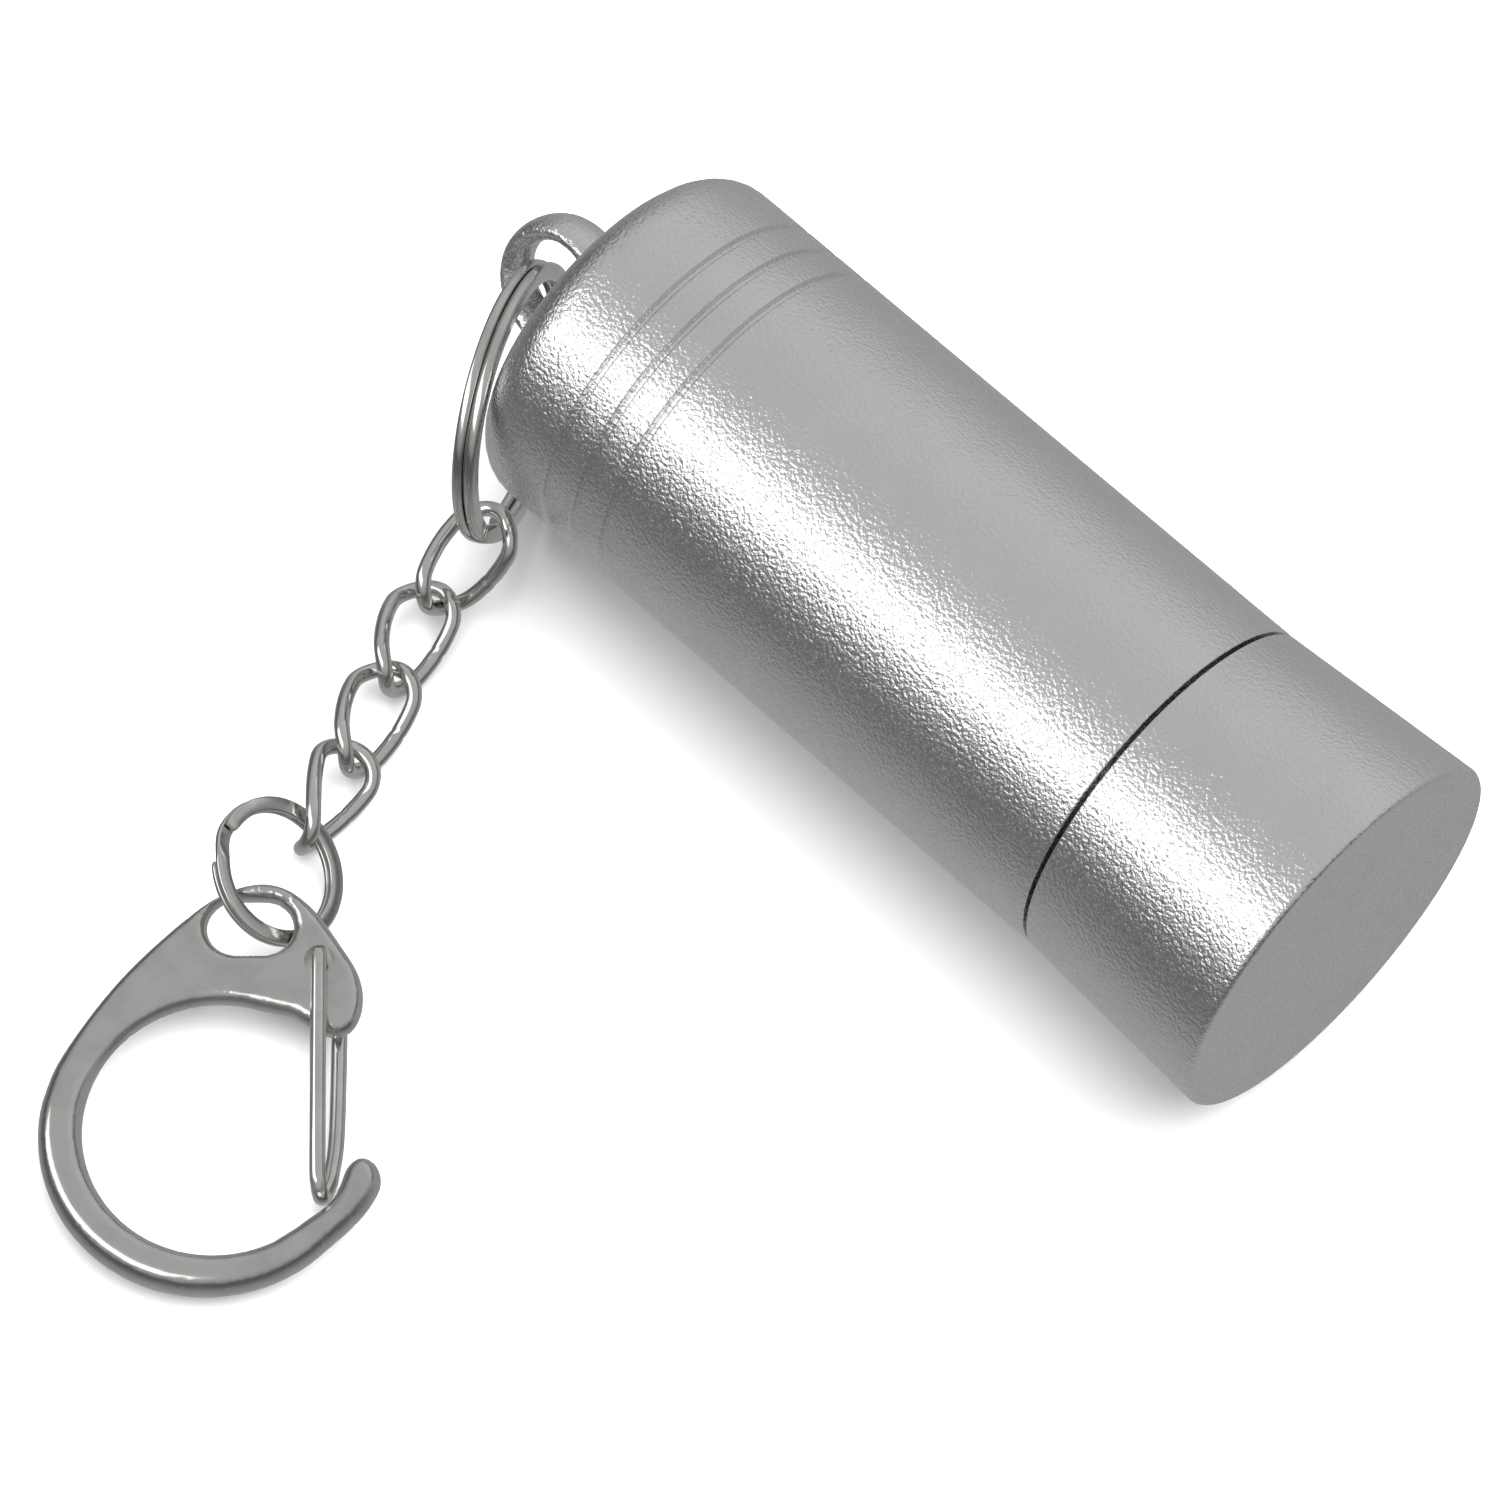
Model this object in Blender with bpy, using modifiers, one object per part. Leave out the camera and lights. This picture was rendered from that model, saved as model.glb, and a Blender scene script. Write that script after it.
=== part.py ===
"""Keychain magnet tool: an aluminium cylinder with a flared screw cap, a magnet
stack inside, and a split ring, a four-link curb chain and a snap hook on its tail lug.

Frame: the origin is the centre of the cap's flat front face, +X is that face's outward
normal, +Z is up. The cylinder lies on its side; the floor is the plane z = FLOOR_Z.
"""

from math import cos, pi, radians, sin

import bmesh
import bpy
from mathutils import Matrix, Vector

MM = 0.001
GAP = 0.3 * MM                      # room kept between pieces that touch

# Cylinder, measured as depths behind the front face and as radii
CAP_FRONT_RADIUS = 15.0 * MM
BODY_RADIUS = 14.0 * MM
SEAM_DEPTH = 16.4 * MM
TAIL_DEPTH = 70.9 * MM
TAIL_ROUNDING = 3.5 * MM
FRONT_CHAMFER = 0.5 * MM
GROOVE_DEPTHS = [depth * MM for depth in (57.4, 60.2, 63.0)]
GROOVE_WIDTH = 0.7 * MM
GROOVE_CUT = 0.4 * MM
FLOOR_Z = -CAP_FRONT_RADIUS
ROUND_STEPS = 32

# Screw joint between cap and sleeve
THREAD_RADIUS = 12.4 * MM
THREAD_PITCH = 1.5 * MM
THREAD_CUT = 0.5 * MM
THREAD_RELIEF = 1.2 * MM            # plain length behind the last thread
NOSE_RADIUS = 11.2 * MM
NOSE_DEPTH = 5.9 * MM               # where the sleeve's nose begins
THREAD_DEPTH = 9.6 * MM             # where the thread begins
CAP_WALL = 2.2 * MM
NOSE_CLEARANCE = 0.4 * MM
THREAD_CLEARANCE = 0.35 * MM

# Magnet stack in the sleeve's bore
BORE_RADIUS = 10.2 * MM
BORE_END_DEPTH = 66.4 * MM
MAGNET_RADIUS = 8.3 * MM
MAGNET_LENGTH = 8.0 * MM
MAGNET_RECESS_RADIUS = 4.5 * MM
STACK_DEPTH = 7.9 * MM
DISC_COUNT = 3
YOKE_WALL = 1.3 * MM
YOKE_BASE = 2.0 * MM
DISC_EDGE = 0.25 * MM
KEEPER_THICKNESS = 1.4 * MM
LINER_THICKNESS = 1.0 * MM
LINER_CLEARANCE = 0.4 * MM
SNAP_GROOVE_FRONT = STACK_DEPTH - 1.3 * MM
SNAP_GROOVE_BACK = STACK_DEPTH - 0.2 * MM
SNAP_GROOVE_CUT = 0.5 * MM
SNAP_RING_FRONT = STACK_DEPTH - 1.05 * MM
SNAP_RING_THICKNESS = 0.6 * MM
SNAP_RING_WIDTH = 1.7 * MM
SNAP_RING_SEAT = 0.2 * MM           # how far it reaches into its groove
SNAP_RING_OPENING = radians(36)
WASHER_THICKNESS = 0.35 * MM
WASHER_SWING = 0.35 * MM
WASHER_WIDTH = 2.6 * MM
WASHER_WAVES = 3
SPACER_WALL = 2.2 * MM

# O-ring behind the thread
SEAL_HALF_LENGTH = 0.45 * MM
SEAL_HALF_HEIGHT = 0.25 * MM
SEAL_DEPTH = SEAM_DEPTH - GAP / 2 - 0.35 * MM
SEAL_RADIUS = THREAD_RADIUS - THREAD_CUT + 0.42 * MM

# Lug on the tail: a flat eye turned about the cylinder's axis
LUG_TURN = radians(60)
LUG_THICKNESS = 4.0 * MM
LUG_RADIUS = 5.1 * MM
LUG_NECK = 3.8 * MM                 # half the width where it meets the tail
LUG_CENTRE = 3.9 * MM               # centre of its outline behind the tail face
LUG_HOLE_RADIUS = 3.1 * MM
LUG_HOLE_OFFSET = 4.2 * MM          # hole centre behind the tail face
LUG_HOLE_FLARE = 1.1 * MM
LUG_EDGE = 1.0 * MM
LUG_ROOT = 3.0 * MM                 # how far the lug reaches into the tail
LUG_ARC = (48, 312)                 # its round outline, in degrees from the tail

# Large split ring
RING_RADIUS = 9.7 * MM
RING_BAND = 1.4 * MM                # radial width of the wire
RING_LAYER = 0.8 * MM              # thickness of one turn
RING_PITCH = 0.9 * MM              # from one turn to the next
RING_CENTRE = Vector((-71.98, -8.05, -3.70)) * MM
RING_NORMAL = Vector((0.898, 0.4269, 0.1064)).normalized()
RING_ENDS = radians(125)            # where the wire's ends are, from the ring's top
RING_CROSSOVER = radians(16)        # half the arc over which the wire changes layer

# Curb chain
WIRE = 1.15 * MM
LINK_LENGTH = 8.5 * MM              # along the wire's centre line
LINK_WIDTH = 4.6 * MM
LINK_TWIST = radians(52)            # how far each end turns about the link's length
LINK_ROLL = radians(-30)            # how the whole link lies over
CHAIN_HEADING = radians(-68.2)
CHAIN_HEIGHT = FLOOR_Z + 1.85 * MM
CHAIN_START = Vector((-68.65 * MM, -20.65 * MM, CHAIN_HEIGHT))   # where link 2 begins
LINK_1_REAR = Vector((-68.38, -13.12, -9.05)) * MM
LINK_1_FRONT = Vector((-68.22, -20.74, -12.83)) * MM
LINK_4_CLIMB = radians(0.8)
LINK_4_TURN = radians(-2.4)          # its heading from the chain's
LINK_4_ROLL = radians(-59.9)

# Small split ring, threaded through the hook's eye
SMALL_RING_RADIUS = 4.87 * MM
SMALL_RING_BAND = 1.1 * MM
SMALL_RING_LAYER = 0.45 * MM
SMALL_RING_PITCH = 0.55 * MM
SMALL_RING_CENTRE = Vector((-60.366, -43.539, -11.545)) * MM
SMALL_RING_HIGH_SIDE = radians(169.74)
SMALL_RING_TILT = radians(38.82)
SMALL_RING_ENDS = 0.0

# Snap hook, in its own plane: x to the right, y towards the eye
HOOK_ORIGIN = Vector((-50.0, -59.9, -12.44)) * MM
HOOK_HEADING = radians(44.2)
HOOK_TILT = radians(4.2)
BOW_HALF_THICKNESS = 1.6 * MM
PLATE_HALF_THICKNESS = 1.1 * MM
PLATE_TAPER = 6.0 * MM              # length over which the bow thins to the plate
HOOK_EDGE = 0.8 * MM
BOW_INNER = (0.2 * MM, -0.6 * MM, 9.35 * MM)       # centre x, centre y, radius
BOW_OUTER = (-0.3 * MM, -0.9 * MM, 11.9 * MM)
BOW_INNER_SPAN = (-64, -286)                       # degrees, clockwise from the nose
BOW_OUTER_SPAN = (167, 312)
EYE_CENTRE = (2.2 * MM, 14.4 * MM)
EYE_HALF_LENGTH = 3.05 * MM
EYE_RADIUS = 2.1 * MM
GATE_WIRE = 1.15 * MM
GATE_TOP_PIVOT = (7.15 * MM, 11.7 * MM)
GATE_BOTTOM_PIVOT = (8.5 * MM, 10.6 * MM)
GATE_HOLE_RADIUS = 1.1 * MM
GATE_HOLE_FLOOR = 0.15 * MM         # half the metal left between the two holes
GATE_END_HEIGHT = 0.45 * MM         # where the wire's ends stop inside the holes
GATE_LEG_HEIGHT = PLATE_HALF_THICKNESS + GAP + GATE_WIRE / 2

COLLECTION = "keychain_magnet_tool"
CUTTERS = "cutters"


# ---------------------------------------------------------------- scene helpers

def clear_scene():
    for item in list(bpy.data.objects):
        bpy.data.objects.remove(item, do_unlink=True)


def make_collection(name):
    collection = bpy.data.collections.new(name)
    bpy.context.scene.collection.children.link(collection)
    return collection


def make_material(name, colour, roughness, metallic):
    material = bpy.data.materials.new(name)
    material.use_nodes = True
    shader = material.node_tree.nodes["Principled BSDF"]
    shader.inputs["Base Color"].default_value = (*colour, 1.0)
    shader.inputs["Roughness"].default_value = roughness
    shader.inputs["Metallic"].default_value = metallic
    material.diffuse_color = (*colour, 1.0)
    return material


def link_object(name, data, look, collection=COLLECTION):
    item = bpy.data.objects.new(name, data)
    bpy.data.collections[collection].objects.link(item)
    if look is not None:
        data.materials.append(make_material(name, *look))
    return item


def attach(child, parent):
    """Parents child to parent and leaves it where it is."""
    bpy.context.view_layer.update()
    child.parent = parent
    child.matrix_parent_inverse = parent.matrix_world.inverted()


def smooth(item, angle=radians(35)):
    item.data.shade_smooth()
    item.data.set_sharp_from_angle(angle=angle)


def as_mesh(curve_item):
    """Replaces a curve object with the welded mesh of the same shape and place."""
    bpy.context.view_layer.update()
    graph = bpy.context.evaluated_depsgraph_get()
    mesh = bpy.data.meshes.new_from_object(curve_item.evaluated_get(graph))
    work = bmesh.new()
    work.from_mesh(mesh)
    bmesh.ops.remove_doubles(work, verts=work.verts, dist=0.001 * MM)
    bmesh.ops.recalc_face_normals(work, faces=work.faces)
    work.to_mesh(mesh)
    work.free()
    item = bpy.data.objects.new(curve_item.name, mesh)
    for collection in curve_item.users_collection:
        collection.objects.link(item)
    item.matrix_world = curve_item.matrix_world
    name = curve_item.name
    bpy.data.objects.remove(curve_item, do_unlink=True)
    item.name = name
    return item


def use_cutter(target, cutter, operation):
    cutter.hide_render = True
    cutter.display_type = "WIRE"
    change = target.modifiers.new(cutter.name, "BOOLEAN")
    change.operation = operation
    change.solver = "EXACT"
    change.object = cutter


# --------------------------------------------------------------- shape builders

def turned(name, profile, look, closed=False, collection=COLLECTION, steps=ROUND_STEPS):
    """A solid turned about the X axis from (depth, radius) points.

    The points run from the front to the back along the outer side. The object's own
    +Z points along the world's +X, and one flat facet lies at the bottom.
    """
    mesh = bpy.data.meshes.new(name)
    points = [(radius, 0.0, -depth) for depth, radius in profile]
    edges = [(i, i + 1) for i in range(len(points) - 1)]
    if closed:
        edges.append((len(points) - 1, 0))
    mesh.from_pydata(points, edges, [])
    item = link_object(name, mesh, look, collection)
    item.rotation_mode = "QUATERNION"
    half_step = Matrix.Rotation(pi / steps, 3, "Z")
    item.rotation_quaternion = (Matrix.Rotation(pi / 2, 3, "Y") @ half_step).to_quaternion()
    screw = item.modifiers.new("turn", "SCREW")
    screw.axis = "Z"
    screw.steps = steps
    screw.render_steps = steps
    screw.use_smooth_shade = True
    screw.use_merge_vertices = True
    screw.merge_threshold = 0.001 * MM
    return item


def rounded_corner(depth, radius, rounding, count):
    """Points of a quarter circle from the outer side to the rear face."""
    angles = [pi / 2 * i / count for i in range(count + 1)]
    return [(depth - rounding + rounding * sin(a), radius - rounding + rounding * cos(a))
            for a in angles]


def wire(name, points, thickness, look, cyclic=False):
    """A round wire along points, as a curve with a bevel."""
    curve = bpy.data.curves.new(name, "CURVE")
    curve.dimensions = "3D"
    curve.bevel_depth = thickness / 2
    curve.bevel_resolution = 2
    curve.use_fill_caps = not cyclic
    spline = curve.splines.new("POLY")
    spline.points.add(len(points) - 1)
    for target, point in zip(spline.points, points):
        target.co = (*point, 1.0)
    spline.use_cyclic_u = cyclic
    return link_object(name, curve, look)


def split_ring(name, radius, band, layer, pitch, steps_per_turn, look):
    """Two flat turns of wire about the object's Z axis, joined by a short crossover."""
    crossover = RING_CROSSOVER
    count = 2 * steps_per_turn
    points = []
    for i in range(count + 1):
        angle = crossover + (4 * pi - 2 * crossover) * i / count
        rise = (angle - (2 * pi - crossover)) / (2 * crossover)
        rise = min(max(rise, 0.0), 1.0)
        rise = rise * rise * (3 - 2 * rise)
        height = pitch * (rise - 0.5)
        points.append((radius * cos(angle), radius * sin(angle), height))
    item = wire(name, points, layer, look)
    curve = item.data
    curve.twist_mode = "Z_UP"
    curve.extrude = (band - layer) / 2
    for point in curve.splines[0].points:
        point.tilt = pi / 2
    return item


def flat_outline(name, loops, half_thickness, edge, look, collection=COLLECTION):
    """A plate bounded by loops of (x, y) points, with its edges rounded by edge."""
    curve = bpy.data.curves.new(name, "CURVE")
    curve.dimensions = "2D"
    curve.fill_mode = "BOTH"
    curve.extrude = half_thickness - edge
    curve.bevel_depth = edge
    curve.bevel_resolution = 1
    curve.offset = -edge
    for loop in loops:
        spline = curve.splines.new("POLY")
        spline.points.add(len(loop) - 1)
        for target, (x, y) in zip(spline.points, loop):
            target.co = (x, y, 0.0, 1.0)
        spline.use_cyclic_u = True
    return link_object(name, curve, look, collection)


def arc(centre_x, centre_y, radius, start, end, count):
    """Points on an arc from start to end, both in degrees."""
    angles = [radians(start + (end - start) * i / count) for i in range(count + 1)]
    return [(centre_x + radius * cos(a), centre_y + radius * sin(a)) for a in angles]


def smooth_path(points, steps):
    """A Catmull-Rom curve through points, without the first and last of them."""
    path = []
    for before, start, end, after in zip(points, points[1:], points[2:], points[3:]):
        for i in range(steps):
            t = i / steps
            weights = (-t + 2 * t * t - t ** 3, 2 - 5 * t * t + 3 * t ** 3,
                       t + 4 * t * t - 3 * t ** 3, -t * t + t ** 3)
            path.append(tuple(sum(w * p[axis] for w, p in zip(weights, (before, start, end, after))) / 2
                              for axis in range(len(start))))
    path.append(tuple(points[-2]))
    return path


# ------------------------------------------------------------------ the cylinder

def build_sleeve(look):
    """Bored aluminium sleeve with a threaded nose, three grooves and the tail lug."""
    shoulder = SEAM_DEPTH + GAP / 2
    profile = [(NOSE_DEPTH, BORE_RADIUS), (NOSE_DEPTH, NOSE_RADIUS), (THREAD_DEPTH, NOSE_RADIUS)]
    depth = THREAD_DEPTH
    while depth + THREAD_PITCH < shoulder - THREAD_RELIEF:
        profile.append((depth + THREAD_PITCH / 4, THREAD_RADIUS))
        profile.append((depth + THREAD_PITCH / 2, THREAD_RADIUS))
        profile.append((depth + THREAD_PITCH * 0.98, THREAD_RADIUS - THREAD_CUT))
        depth += THREAD_PITCH
    profile.append((shoulder, THREAD_RADIUS - THREAD_CUT))
    profile.append((shoulder, BODY_RADIUS - FRONT_CHAMFER / 2))
    profile.append((shoulder + FRONT_CHAMFER / 2, BODY_RADIUS))
    for groove in GROOVE_DEPTHS:
        profile.append((groove - GROOVE_WIDTH / 2, BODY_RADIUS))
        profile.append((groove, BODY_RADIUS - GROOVE_CUT))
        profile.append((groove + GROOVE_WIDTH / 2, BODY_RADIUS))
    profile += rounded_corner(TAIL_DEPTH, BODY_RADIUS, TAIL_ROUNDING, 4)
    profile.append((TAIL_DEPTH, 0.0))
    profile.append((BORE_END_DEPTH, 0.0))
    profile.append((BORE_END_DEPTH, BORE_RADIUS))
    profile.append((SNAP_GROOVE_BACK, BORE_RADIUS))
    profile.append((SNAP_GROOVE_BACK, BORE_RADIUS + SNAP_GROOVE_CUT))
    profile.append((SNAP_GROOVE_FRONT, BORE_RADIUS + SNAP_GROOVE_CUT))
    profile.append((SNAP_GROOVE_FRONT, BORE_RADIUS))
    sleeve = turned("body_sleeve", profile, look, closed=True)

    place = Matrix.Translation((-TAIL_DEPTH, 0.0, 0.0)) @ Matrix.Rotation(LUG_TURN, 4, "X")
    outline = [(LUG_ROOT, -LUG_NECK), (LUG_ROOT, LUG_NECK)]
    outline += arc(-LUG_CENTRE, 0.0, LUG_RADIUS, *LUG_ARC, 26)
    lug = as_mesh(flat_outline("lug", [outline], LUG_THICKNESS / 2, LUG_EDGE, None, CUTTERS))
    lug.matrix_world = place
    use_cutter(sleeve, lug, "UNION")

    flare_end = LUG_THICKNESS / 2 + GAP
    flare_start = LUG_THICKNESS / 2 - LUG_HOLE_FLARE
    mouth = LUG_HOLE_RADIUS + flare_end - flare_start
    spool = [(-flare_end, 0.0), (-flare_end, mouth), (-flare_start, LUG_HOLE_RADIUS),
             (flare_start, LUG_HOLE_RADIUS), (flare_end, mouth), (flare_end, 0.0)]
    hole = turned("lug_hole", spool, None, collection=CUTTERS, steps=28)
    hole.matrix_world = place @ Matrix.Translation((-LUG_HOLE_OFFSET, 0.0, 0.0))
    use_cutter(sleeve, hole, "DIFFERENCE")
    return sleeve


def build_cap(look):
    """Flared screw cap, open at the back."""
    back = SEAM_DEPTH - GAP / 2
    flare = (CAP_FRONT_RADIUS - BODY_RADIUS) / back
    cavity = NOSE_RADIUS + NOSE_CLEARANCE
    thread_bore = THREAD_RADIUS + THREAD_CLEARANCE
    step = THREAD_DEPTH - GAP
    profile = [(0.0, 0.0), (0.0, CAP_FRONT_RADIUS - FRONT_CHAMFER),
               (FRONT_CHAMFER, CAP_FRONT_RADIUS - flare * FRONT_CHAMFER),
               (back - FRONT_CHAMFER / 2, BODY_RADIUS),
               (back, BODY_RADIUS - FRONT_CHAMFER / 2),
               (back, thread_bore), (step, thread_bore), (step, cavity),
               (CAP_WALL, cavity), (CAP_WALL, 0.0)]
    return turned("front_cap", profile, look)


def disc(name, front, back, radius, look, edge=DISC_EDGE):
    profile = [(front, 0.0), (front, radius - edge), (front + edge, radius),
               (back - edge, radius), (back, radius - edge), (back, 0.0)]
    return turned(name, profile, look)


def ring(name, front, back, inner, outer, look, edge=DISC_EDGE):
    profile = [(front, inner), (front, outer - edge), (front + edge, outer),
               (back - edge, outer), (back, outer - edge), (back, inner)]
    return turned(name, profile, look, closed=True)


def build_cap_fittings(steel, rubber):
    keeper_front = CAP_WALL + GAP
    keeper_back = keeper_front + KEEPER_THICKNESS
    keeper = disc("keeper_plate", keeper_front, keeper_back, NOSE_RADIUS, steel)
    liner_front = keeper_back + LINER_CLEARANCE
    liner = disc("cap_liner", liner_front, liner_front + LINER_THICKNESS, NOSE_RADIUS, rubber)
    return keeper, liner


def build_seal(rubber):
    """O-ring in the relief behind the thread."""
    sides = 8
    angles = [2 * pi * i / sides for i in range(sides)]
    profile = [(SEAL_DEPTH - SEAL_HALF_LENGTH * cos(a), SEAL_RADIUS + SEAL_HALF_HEIGHT * sin(a))
               for a in angles]
    return turned("thread_o_ring", profile, rubber, closed=True)


def build_snap_ring(steel):
    """Internal snap ring in front of the ring magnet, with a gap to squeeze it by."""
    outer = BORE_RADIUS + SNAP_RING_SEAT
    inner = outer - SNAP_RING_WIDTH
    count = 26
    start = SNAP_RING_OPENING / 2 - pi / 2
    angles = [start + (2 * pi - SNAP_RING_OPENING) * i / count for i in range(count + 1)]
    outline = [(outer * cos(a), outer * sin(a)) for a in angles]
    outline += [(inner * cos(a), inner * sin(a)) for a in reversed(angles)]
    item = as_mesh(flat_outline("snap_ring", [outline], SNAP_RING_THICKNESS / 2, 0.0, steel))
    item.data.materials.clear()
    item.data.materials.append(make_material("snap_ring", *steel))
    item.rotation_mode = "QUATERNION"
    item.rotation_quaternion = Matrix.Rotation(pi / 2, 3, "Y").to_quaternion()
    item.location = (-SNAP_RING_FRONT - SNAP_RING_THICKNESS / 2, 0.0, 0.0)
    return item


def build_yoke(steel):
    """Soft-steel cup round the magnets."""
    length = MAGNET_LENGTH + DISC_COUNT * (MAGNET_LENGTH + GAP) + GAP
    inner = MAGNET_RADIUS + GAP
    outer = inner + YOKE_WALL
    back = STACK_DEPTH + length + YOKE_BASE
    edge = 0.3 * MM
    profile = [(STACK_DEPTH, inner), (STACK_DEPTH, outer - edge), (STACK_DEPTH + edge, outer),
               (back - edge, outer), (back, outer - edge), (back, 0.0),
               (back - YOKE_BASE, 0.0), (back - YOKE_BASE, inner)]
    return turned("yoke_cup", profile, steel, closed=True), back


def build_magnets(look):
    pieces = [ring("ring_magnet", STACK_DEPTH, STACK_DEPTH + MAGNET_LENGTH,
                   MAGNET_RECESS_RADIUS, MAGNET_RADIUS, look)]
    front = STACK_DEPTH + MAGNET_LENGTH + GAP
    for number in range(1, DISC_COUNT + 1):
        pieces.append(disc(f"disc_magnet_{number}", front, front + MAGNET_LENGTH,
                           MAGNET_RADIUS, look))
        front += MAGNET_LENGTH + GAP
    return pieces


def build_wave_washer(front, steel):
    """Spring washer behind the yoke: a thin ring bent into three waves."""
    half = WASHER_THICKNESS / 2
    outer = BORE_RADIUS - GAP
    inner = outer - WASHER_WIDTH
    middle = front + half + WASHER_SWING
    steps = 36
    mesh = bpy.data.meshes.new("wave_washer")
    work = bmesh.new()
    corners = [(outer, half), (outer, -half), (inner, -half), (inner, half)]
    rows = []
    for i in range(steps):
        angle = 2 * pi * i / steps
        lift = WASHER_SWING * cos(WASHER_WAVES * angle)
        rows.append([work.verts.new((lift + offset, radius * cos(angle), radius * sin(angle)))
                     for radius, offset in corners])
    for i, row in enumerate(rows):
        following = rows[(i + 1) % steps]
        for k in range(4):
            work.faces.new((row[k], row[(k + 1) % 4], following[(k + 1) % 4], following[k]))
    bmesh.ops.recalc_face_normals(work, faces=work.faces)
    work.to_mesh(mesh)
    work.free()
    item = link_object("wave_washer", mesh, steel)
    item.location = (-middle, 0.0, 0.0)
    smooth(item)
    return item, middle + WASHER_SWING + half


def build_spacer(front, plastic):
    """Moulded cup that fills the bore behind the spring washer."""
    outer = BORE_RADIUS - GAP
    edge = 0.5 * MM
    back = BORE_END_DEPTH - GAP
    profile = [(front, outer - SPACER_WALL), (front, outer), (back - edge, outer),
               (back, outer - edge), (back, 0.0), (back - SPACER_WALL, 0.0),
               (back - SPACER_WALL, outer - SPACER_WALL)]
    return turned("back_spacer", profile, plastic, closed=True)


# ----------------------------------------------------------------- ring and chain

def basis(x_axis, z_axis):
    """Rotation whose X is x_axis and whose Z is as near z_axis as it can be."""
    x = Vector(x_axis).normalized()
    y = Vector(z_axis).cross(x).normalized()
    z = x.cross(y)
    return Matrix((x, y, z)).transposed()


def place_at(item, location, rotation):
    item.matrix_world = Matrix.Translation(location) @ rotation.to_4x4()


def lug_hole_centre():
    return Vector((-TAIL_DEPTH - LUG_HOLE_OFFSET, 0.0, 0.0))


def shift_curve(item, offset):
    """Moves a wire within its own frame, so that its origin is its pivot."""
    for point in item.data.splines[0].points:
        point.co = (*(Vector(point.co[:3]) + offset), 1.0)


def build_split_ring(look):
    """Large split ring; its origin is the centre of the lug's hole."""
    item = split_ring("split_ring", RING_RADIUS, RING_BAND, RING_LAYER, RING_PITCH, 36, look)
    up = Vector((0.0, 0.0, 1.0))
    rotation = basis(up - up.dot(RING_NORMAL) * RING_NORMAL, RING_NORMAL)
    rotation = rotation @ Matrix.Rotation(RING_ENDS, 3, "Z")
    pivot = lug_hole_centre()
    shift_curve(item, rotation.transposed() @ (RING_CENTRE - pivot))
    place_at(item, pivot, rotation)
    return item


def ring_seat():
    """The point of the large ring's wire that carries the chain, and the tangent there."""
    outward = LINK_1_REAR - RING_CENTRE
    outward -= outward.dot(RING_NORMAL) * RING_NORMAL
    outward.normalize()
    return RING_CENTRE + RING_RADIUS * outward, RING_NORMAL.cross(outward)


def link_points(rear, roll):
    """Twisted oval of one curb link; rear is the x of its rear end's wire centre."""
    round_radius = LINK_WIDTH / 2
    straight = LINK_LENGTH - LINK_WIDTH
    flat = arc(straight / 2, 0.0, round_radius, -90, 90, 10)
    flat += [(straight / 2 - straight * i / 5, round_radius) for i in range(1, 5)]
    flat += arc(-straight / 2, 0.0, round_radius, 90, 270, 10)
    flat += [(-straight / 2 + straight * i / 5, -round_radius) for i in range(1, 5)]
    points = []
    for x, y in flat:
        turn = roll - LINK_TWIST * x / (LINK_LENGTH / 2)
        points.append((rear + LINK_LENGTH / 2 + x, y * cos(turn), y * sin(turn)))
    return points


def build_link(number, pivot, direction, rear, look):
    roll = LINK_4_ROLL if number == 4 else LINK_ROLL
    item = wire(f"chain_link_{number}", link_points(rear, roll), WIRE, look,
                cyclic=True)
    place_at(item, pivot, basis(direction, (0.0, 0.0, 1.0)))
    return item


def chain_layout():
    """Front and rear wire centres and the heading of each link."""
    heading = Vector((cos(CHAIN_HEADING), sin(CHAIN_HEADING), 0.0))
    links = [(LINK_1_REAR, LINK_1_FRONT, (LINK_1_FRONT - LINK_1_REAR).normalized())]
    front = CHAIN_START
    last = CHAIN_HEADING + LINK_4_TURN
    last = Vector((cos(last) * cos(LINK_4_CLIMB), sin(last) * cos(LINK_4_CLIMB), sin(LINK_4_CLIMB)))
    headings = [heading, heading, last]
    for direction in headings:
        rear = front - direction * (WIRE + GAP)
        front = rear + direction * LINK_LENGTH
        links.append((rear, front, direction))
    return links


def build_chain(look):
    """Links hang by turns on the wire before them and on their own rear end."""
    links = chain_layout()
    pieces = []
    for number, (rear, _, direction) in enumerate(links, start=1):
        if number == 1:
            pivot, _ = ring_seat()
        elif number % 2 == 0:
            pivot = links[number - 2][1]
        else:
            pivot = rear
        pieces.append(build_link(number, pivot, direction, -(pivot - rear).dot(direction), look))
    return pieces


def small_ring_rotation():
    return (Matrix.Rotation(HOOK_HEADING + SMALL_RING_HIGH_SIDE, 3, "Z")
            @ Matrix.Rotation(-SMALL_RING_TILT, 3, "Y"))


def small_ring_point(target):
    """The point of the small ring's wire nearest to target."""
    rotation = small_ring_rotation()
    local = rotation.transposed() @ (target - SMALL_RING_CENTRE)
    local.z = 0.0
    return SMALL_RING_CENTRE + rotation @ (local.normalized() * SMALL_RING_RADIUS)


def build_small_ring(look):
    """Small split ring; its origin is on its wire, where the last link holds it."""
    item = split_ring("small_split_ring", SMALL_RING_RADIUS, SMALL_RING_BAND,
                      SMALL_RING_LAYER, SMALL_RING_PITCH, 28, look)
    rotation = small_ring_rotation()
    pivot = small_ring_point(chain_layout()[-1][1])
    ends_turn = Matrix.Rotation(SMALL_RING_ENDS, 3, "Z")
    shift_curve(item, ends_turn.transposed() @ rotation.transposed() @ (SMALL_RING_CENTRE - pivot))
    place_at(item, pivot, rotation @ ends_turn)
    return item


# ---------------------------------------------------------------------- snap hook

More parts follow.
